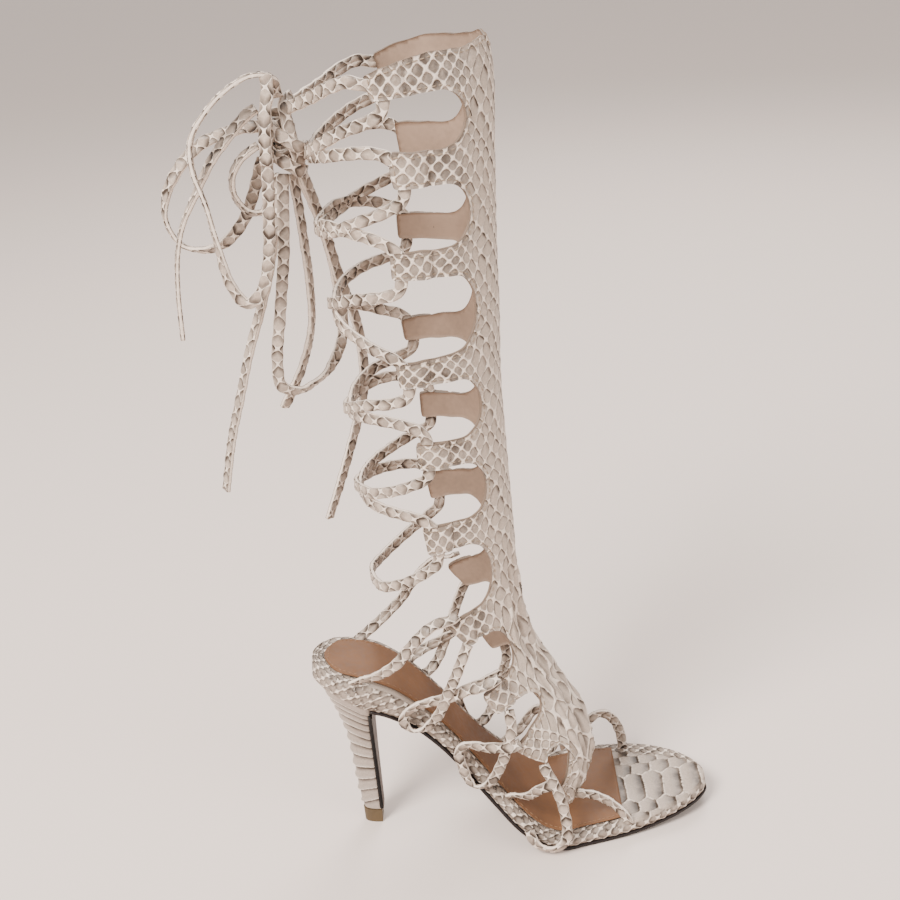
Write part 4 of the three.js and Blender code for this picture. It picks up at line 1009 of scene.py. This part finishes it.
def sock_half(x, half):
    """Half width of the sock, rounded at the back. half gives the footbed's half width."""
    back_round = np.clip((x - SOCK_BACK) / SOCK_ROUND, 0, 1)
    return max(float((half(x) - SOCK_INSET) * np.sqrt(1 - (1 - back_round) ** 2)), 0.6)


def sock_section(x):
    outer, inner = sock_half(x, bed_outer), sock_half(x, bed_inner)
    share = np.concatenate([[-1, -0.985], np.linspace(-0.95, 0.95, 22), [0.985, 1]])
    y = np.where(share < 0, share * outer, share * inner)
    top_depth = -GLUE_LINE - SOCK_THICK + 0.45 * (np.abs(share) ** 40)
    under_y = np.array([inner * 0.98, 0, -outer * 0.98])
    return np.concatenate([y, under_y]), np.concatenate([top_depth, np.full(3, -GLUE_LINE)])


stations = end_spaced(SOCK_BACK, SOCK_FRONT, 1.6, "start")
sock = make_object("sock_sheet", *sole_mesh(stations, sock_section), [sock_leather])
take_place(sock, "insole")
rows = np.arange(SOCK_BACK + 2.2, SOCK_FRONT - 2, 0.4)
outer_seam, inner_seam = (np.array([(x, side * (sock_half(x, half) - SEAM_INSET)) for x in rows])
                          for side, half in ((-1, bed_outer), (1, bed_inner)))
loop = np.vstack([outer_seam[::-1], inner_seam])
at = np.arange(1, distances(loop)[-1], SEAM_STEP)
seam, seam_ahead = places_along(loop, at), places_along(loop, at + 0.7)
above = -GLUE_LINE - SOCK_THICK - 0.02
places = on_sole(*seam.T, above)
stitches("sock_stitches", places, unit(on_sole(*seam_ahead.T, above) - places),
         unit(places - on_sole(*seam.T, 1.0)), sock_thread, long=0.95, wide=0.24)

# ---------------------------------------------------------------------------
# The outsole: a thin leather sole, its edge inked nearly black, cemented
# under the footbed from the toe to the front of the heel.
# ---------------------------------------------------------------------------
OUTSOLE_BACK, OUTSOLE_FRONT, OUTSOLE_PROUD, OUTSOLE_THICK = 16.4, 191.6, 0.45, 2.2
outsole_leather = plain_leather("outsole_leather", (0.012, 0.007, 0.006), 0.42, 0.05)


def outsole_section(x):
    outer, inner = (max(float(half(x)) + OUTSOLE_PROUD, 0.6) for half in (bed_outer, bed_inner))
    share = np.array([-1, -0.97, -0.5, 0, 0.5, 0.97, 1])
    y = np.where(share < 0, share * outer, share * inner)
    deep = float(bed_deep(x))
    low = deep + OUTSOLE_THICK - 0.5 * (np.abs(share[::-1]) ** 60)
    return np.concatenate([y, y[::-1]]), np.concatenate([np.full(7, deep + 0.3), low])


stations = end_spaced(OUTSOLE_BACK, OUTSOLE_FRONT, 1.2, "end")
outsole = make_object("outsole_sheet", *sole_mesh(stations, outsole_section), [outsole_leather])
take_place(outsole, "outsole")

# ---------------------------------------------------------------------------
# The heel: a slim moulded heel covered with belly leather, whose wide scales
# run across it in ridged bands, with a strip of sole leather on its front
# face and a small hard top piece that wears on the floor.
# ---------------------------------------------------------------------------
HEEL = [  # height, back x, front x, half width
    (9.0, -4.6, 5.6, 4.9), (22, -6.2, 5.6, 5.6), (46, -7.4, 5.5, 7.2), (62, -8.8, 5.6, 9.4),
    (73, -11, 6, 13),
]
HEEL_SEAT = [(9.5, -17.6, 6.6, 18), (4, -20.6, 7.2, 22), (0.4, -21.6, 7.6, 23.6)]  # drop below the seat first
HEEL_SQUARENESS = 0.86  # 1 makes round sections
HEEL_RIDGES = [17.3, 26.5, 35, 43.5, 52, 60, 67.5, 74.5, 81, 87, 92.5]
RIDGE_WIDE, NO_RIDGE = 0.7, 9.0
RIDGE_RISE, BAND_RISE = 1.0, 0.35  # of a ridge, and of the upper end of the band below it
RIDGE_DROOP = 3.6  # from the back of the heel to its front corners
HEEL_COLUMNS, HEEL_ROWS = 64, 280
under_x = np.linspace(-22.5, 40, 120)
under_line = on_sole(under_x, 0, bed_deep(under_x))


def heel_column(share):
    """One line up the heel: share runs round the back from one front corner to the other."""
    angle = math.pi * share
    side = math.cos(angle)
    x_share = math.sin(angle) ** HEEL_SQUARENESS
    y_share = -math.copysign(abs(side) ** HEEL_SQUARENESS, side)
    rows = [(front - (front - back) * x_share, y_share * half, z) for z, back, front, half in HEEL]
    for drop, back, front, half in HEEL_SEAT:
        x = front - (front - back) * x_share
        rows.append((x, y_share * half, float(np.interp(x, under_line[:, 0], under_line[:, 2])) - drop))
    rows = np.array(rows)
    gone = distances(rows)
    return np.stack([monotone(gone, column)(np.linspace(0, gone[-1], HEEL_ROWS)) for column in rows.T], 1)


columns = np.array([heel_column(k / (HEEL_COLUMNS - 1)) for k in range(HEEL_COLUMNS)])
grid = columns.transpose(1, 0, 2)
share = np.linspace(-1, 1, HEEL_COLUMNS)[None, :]
height = grid[..., 2].mean(1, keepdims=True) + RIDGE_DROOP * (1 - share**2)
height = height + 1.0 * np.sin(3.0 * share + height / 14) + 0.35 * wobble(height / 5, 4 * share, 3)
gap = height - np.array(HEEL_RIDGES)[:, None, None]
ridge = np.exp(-((gap / RIDGE_WIDE) ** 2)).max(0)
below = np.where(gap > 0, gap, NO_RIDGE).min(0, initial=NO_RIDGE)  # how far below the nearest ridge is
over = np.where(gap <= 0, -gap, NO_RIDGE).min(0, initial=NO_RIDGE)
lift = (RIDGE_RISE * ridge + BAND_RISE * smoothstep(8, 0.3, below)) * smoothstep(1.0, 0.92, np.abs(share))
lift = lift - 0.3
outs = unit((grid - grid.mean(1, keepdims=True)) * [1, 1, 0])
faces = ring_faces(HEEL_ROWS, HEEL_COLUMNS, flip=True) + [tuple(range(HEEL_COLUMNS))]
last_ring = (HEEL_ROWS - 1) * HEEL_COLUMNS
for k in range(HEEL_COLUMNS // 2 - 1):
    mirrored = last_ring + HEEL_COLUMNS - 1 - k
    faces.append((last_ring + k + 1, last_ring + k, mirrored, mirrored - 1))
heel_leather = scaled_leather("heel_leather", {
    "Net Width": 0.5, "Shade": 1.15, "Marks And Shadow Reach": 0.45, "Scale Color": (0.38, 0.31, 0.262, 1)}, "tone")
# Painted light on the heel: the pale net along each ridge is partly the leather's pale edge and partly a
# painted highlight on the lip, and the band just under each ridge is darkened as painted shadow of the lip
# above.
heel = make_object("heel_cover", (grid + outs * lift[..., None]).reshape(-1, 3), faces, [heel_leather],
                   tone=np.stack([1.1 - 1.1 * ridge, 0.10 * over, 0 * ridge], -1))
take_place(heel, "heel")

# ---------------------------------------------------------------------------
# The heel breast: a strip of thin sole leather glued on the front face of the
# heel before it is covered. Its cut sides are inked black.
# ---------------------------------------------------------------------------
INK = (0.006, 0.004, 0.004, 1)
EDGE_WIDE, EDGE_PROUD, EDGE_SUNK, EDGE_AHEAD = 1.3, 0.45, 0.4, 0.5
breast_leather = plain_leather("breast_leather", (0.10, 0.07, 0.06), 0.5, 0.1)
edge_ink = plain_leather("edge_ink", (0.004, 0.0025, 0.0025), 0.6)


def coat(node, material):
    """Gives a CAD node a material in place of its own."""
    mesh = bpy.data.objects[node].data
    mesh.materials.clear()
    mesh.materials.append(material)


tree = breast_leather.node_tree
face_way = add_node(tree, "ShaderNodeTexCoord").outputs["Normal"]
sideways = add_node(tree, "ShaderNodeSeparateXYZ", {0: face_way}).outputs[1]
inked = ramp(tree, maths(tree, "ABSOLUTE", sideways), 0.4, 0.7)
breast_colour = tree.nodes["Principled BSDF"].inputs["Base Color"]
tree.links.new(mixed(tree, inked, breast_colour.links[0].from_socket, INK), breast_colour)
coat("heel_breast", breast_leather)

rows = slice(4, HEEL_ROWS - 26)
for word, corner, back, side in (("outer", 0, 1, -1.0), ("inner", -1, -2, 1.0)):
    line = columns[corner][rows] + [EDGE_AHEAD, 0, 0]
    backward = EDGE_WIDE * unit(columns[back][rows] - columns[corner][rows])
    sunk, proud = line - [0, EDGE_SUNK * side, 0], line + [0, EDGE_PROUD * side, 0]
    verts = np.stack([sunk, proud, proud + backward, sunk + backward], 1).reshape(-1, 3)
    faces = ring_faces(len(line), 4) + [(3, 2, 1, 0), tuple(range(len(verts) - 4, len(verts)))]
    edge = make_object(f"breast_edge_{word}", verts, faces, [edge_ink])
    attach(edge, "root")

# ---------------------------------------------------------------------------
# The top piece: a small hard block of brown rubber, pinned under the heel,
# that takes the wear of the floor.
# ---------------------------------------------------------------------------
coat("top_piece", plain_leather("top_piece_rubber", (0.10, 0.066, 0.032), 0.45, 0.05))

# ---------------------------------------------------------------------------
# The laces at the sides: the same flat lace, out of the lower tabs' tunnels,
# down over the footbed's rim in open loops and up again to the next tab.
# ---------------------------------------------------------------------------
SIDE_LACES = [  # name, then each run's stops: x, distance out from the middle, z
    ("lace_heel", [[
        (60, 33, 152), (57, 34, 150), (47, 36, 148), (33, 35, 134), (27, 34, 126), (16, 30, 116.5),
        (6, 24, 110.6), (0, 21.5, 107)]]),
    ("lace_waist", [[
        (64, 33.4, 134), (62.5, 34.2, 130.6), (60.5, 35, 126), (56.5, 34.6, 116), (51, 32, 102.5),
        (46, 29.4, 90), (41.8, 27.6, 83.6), (36.4, 26.8, 78.6), (30.4, 26.4, 77.6), (26.6, 26.4, 81.4),
        (26.4, 26.4, 86.6), (31.3, 26.4, 92), (38.5, 27.8, 95.6), (46.9, 29.8, 98.6), (54, 31.4, 101.6),
        (62, 33.6, 106), (70, 35.6, 109), (75.5, 35.4, 111.6), (79, 34, 113)]]),
    ("lace_arch", [[
        (83, 33.6, 92), (83.2, 34.4, 87.6), (83.8, 35.4, 82), (82, 36, 74), (79, 35.2, 64), (75, 33.2, 53),
        (71, 31.2, 45), (66.4, 29.6, 40.4), (61, 28.4, 40), (57.6, 27.6, 45), (55.4, 26.6, 52.4),
        (54, 25.6, 60), (57, 26, 65.4), (63, 28, 66.6), (69, 31, 67), (76, 34.6, 69), (83.6, 37.2, 70.6),
        (88, 36, 72)]]),
    ("lace_ball", [[
        (99.6, 35.8, 57), (100.6, 36.6, 53.6), (102.5, 38, 50), (106, 39.6, 42), (109, 40.6, 30),
        (110, 42, 18), (108.8, 42.6, 11), (104, 42.6, 6.6), (97, 41.8, 6.4), (91.6, 40.4, 10.6),
        (89.6, 38.4, 16.4)], [
        (77, 24.5, 27), (82.5, 27.4, 30), (90, 33, 33.5), (97, 36.8, 41), (103, 37, 43.6), (107, 36, 45)]]),
]
CROSSED_LIFT = 0.9  # of the run that lies on top where two cross
TOE_LACES = {
    "outer_lace_toe": [
        (117, -26.6, 29.6), (120, -26.4, 28.6), (125, -25.4, 27), (132, -25, 23), (139, -26, 17.6),
        (143.6, -27.9, 12.4), (145, -29, 8)],
    "inner_lace_toe": [
        (118, 21, 28), (121.5, 22.5, 31), (127, 25, 38), (136, 29.5, 41), (144, 34.5, 33), (148.6, 37.2, 20),
        (149.4, 37.8, 10.4), (149.4, 38, 6)],
}


def away_from_foot(points):
    axis = np.stack([points[:, 0], 0 * points[:, 0], bed_top(points[:, 0]) + 25], 1)
    return unit(points - axis)


for word, side in (("outer", -1), ("inner", 1)):
    for k, (name, runs) in enumerate(SIDE_LACES):
        made = []
        for j, stops in enumerate(runs):
            route, _ = smooth_line(np.array(stops, float) * [1, side, 1])
            outs = away_from_foot(route)
            nudge = CROSSED_LIFT * (1 - 2 * j) * (len(runs) - 1)
            made.append(strap(route + outs * nudge, outs, 11.0 * k + 4 * j + side))
        lace_piece(f"{word}_{name}_run", made, f"{word}_{name}")
for name, stops in TOE_LACES.items():
    route, _ = smooth_line(stops)
    lace_piece(name + "_run", [strap(route, away_from_foot(route), 6)], name)
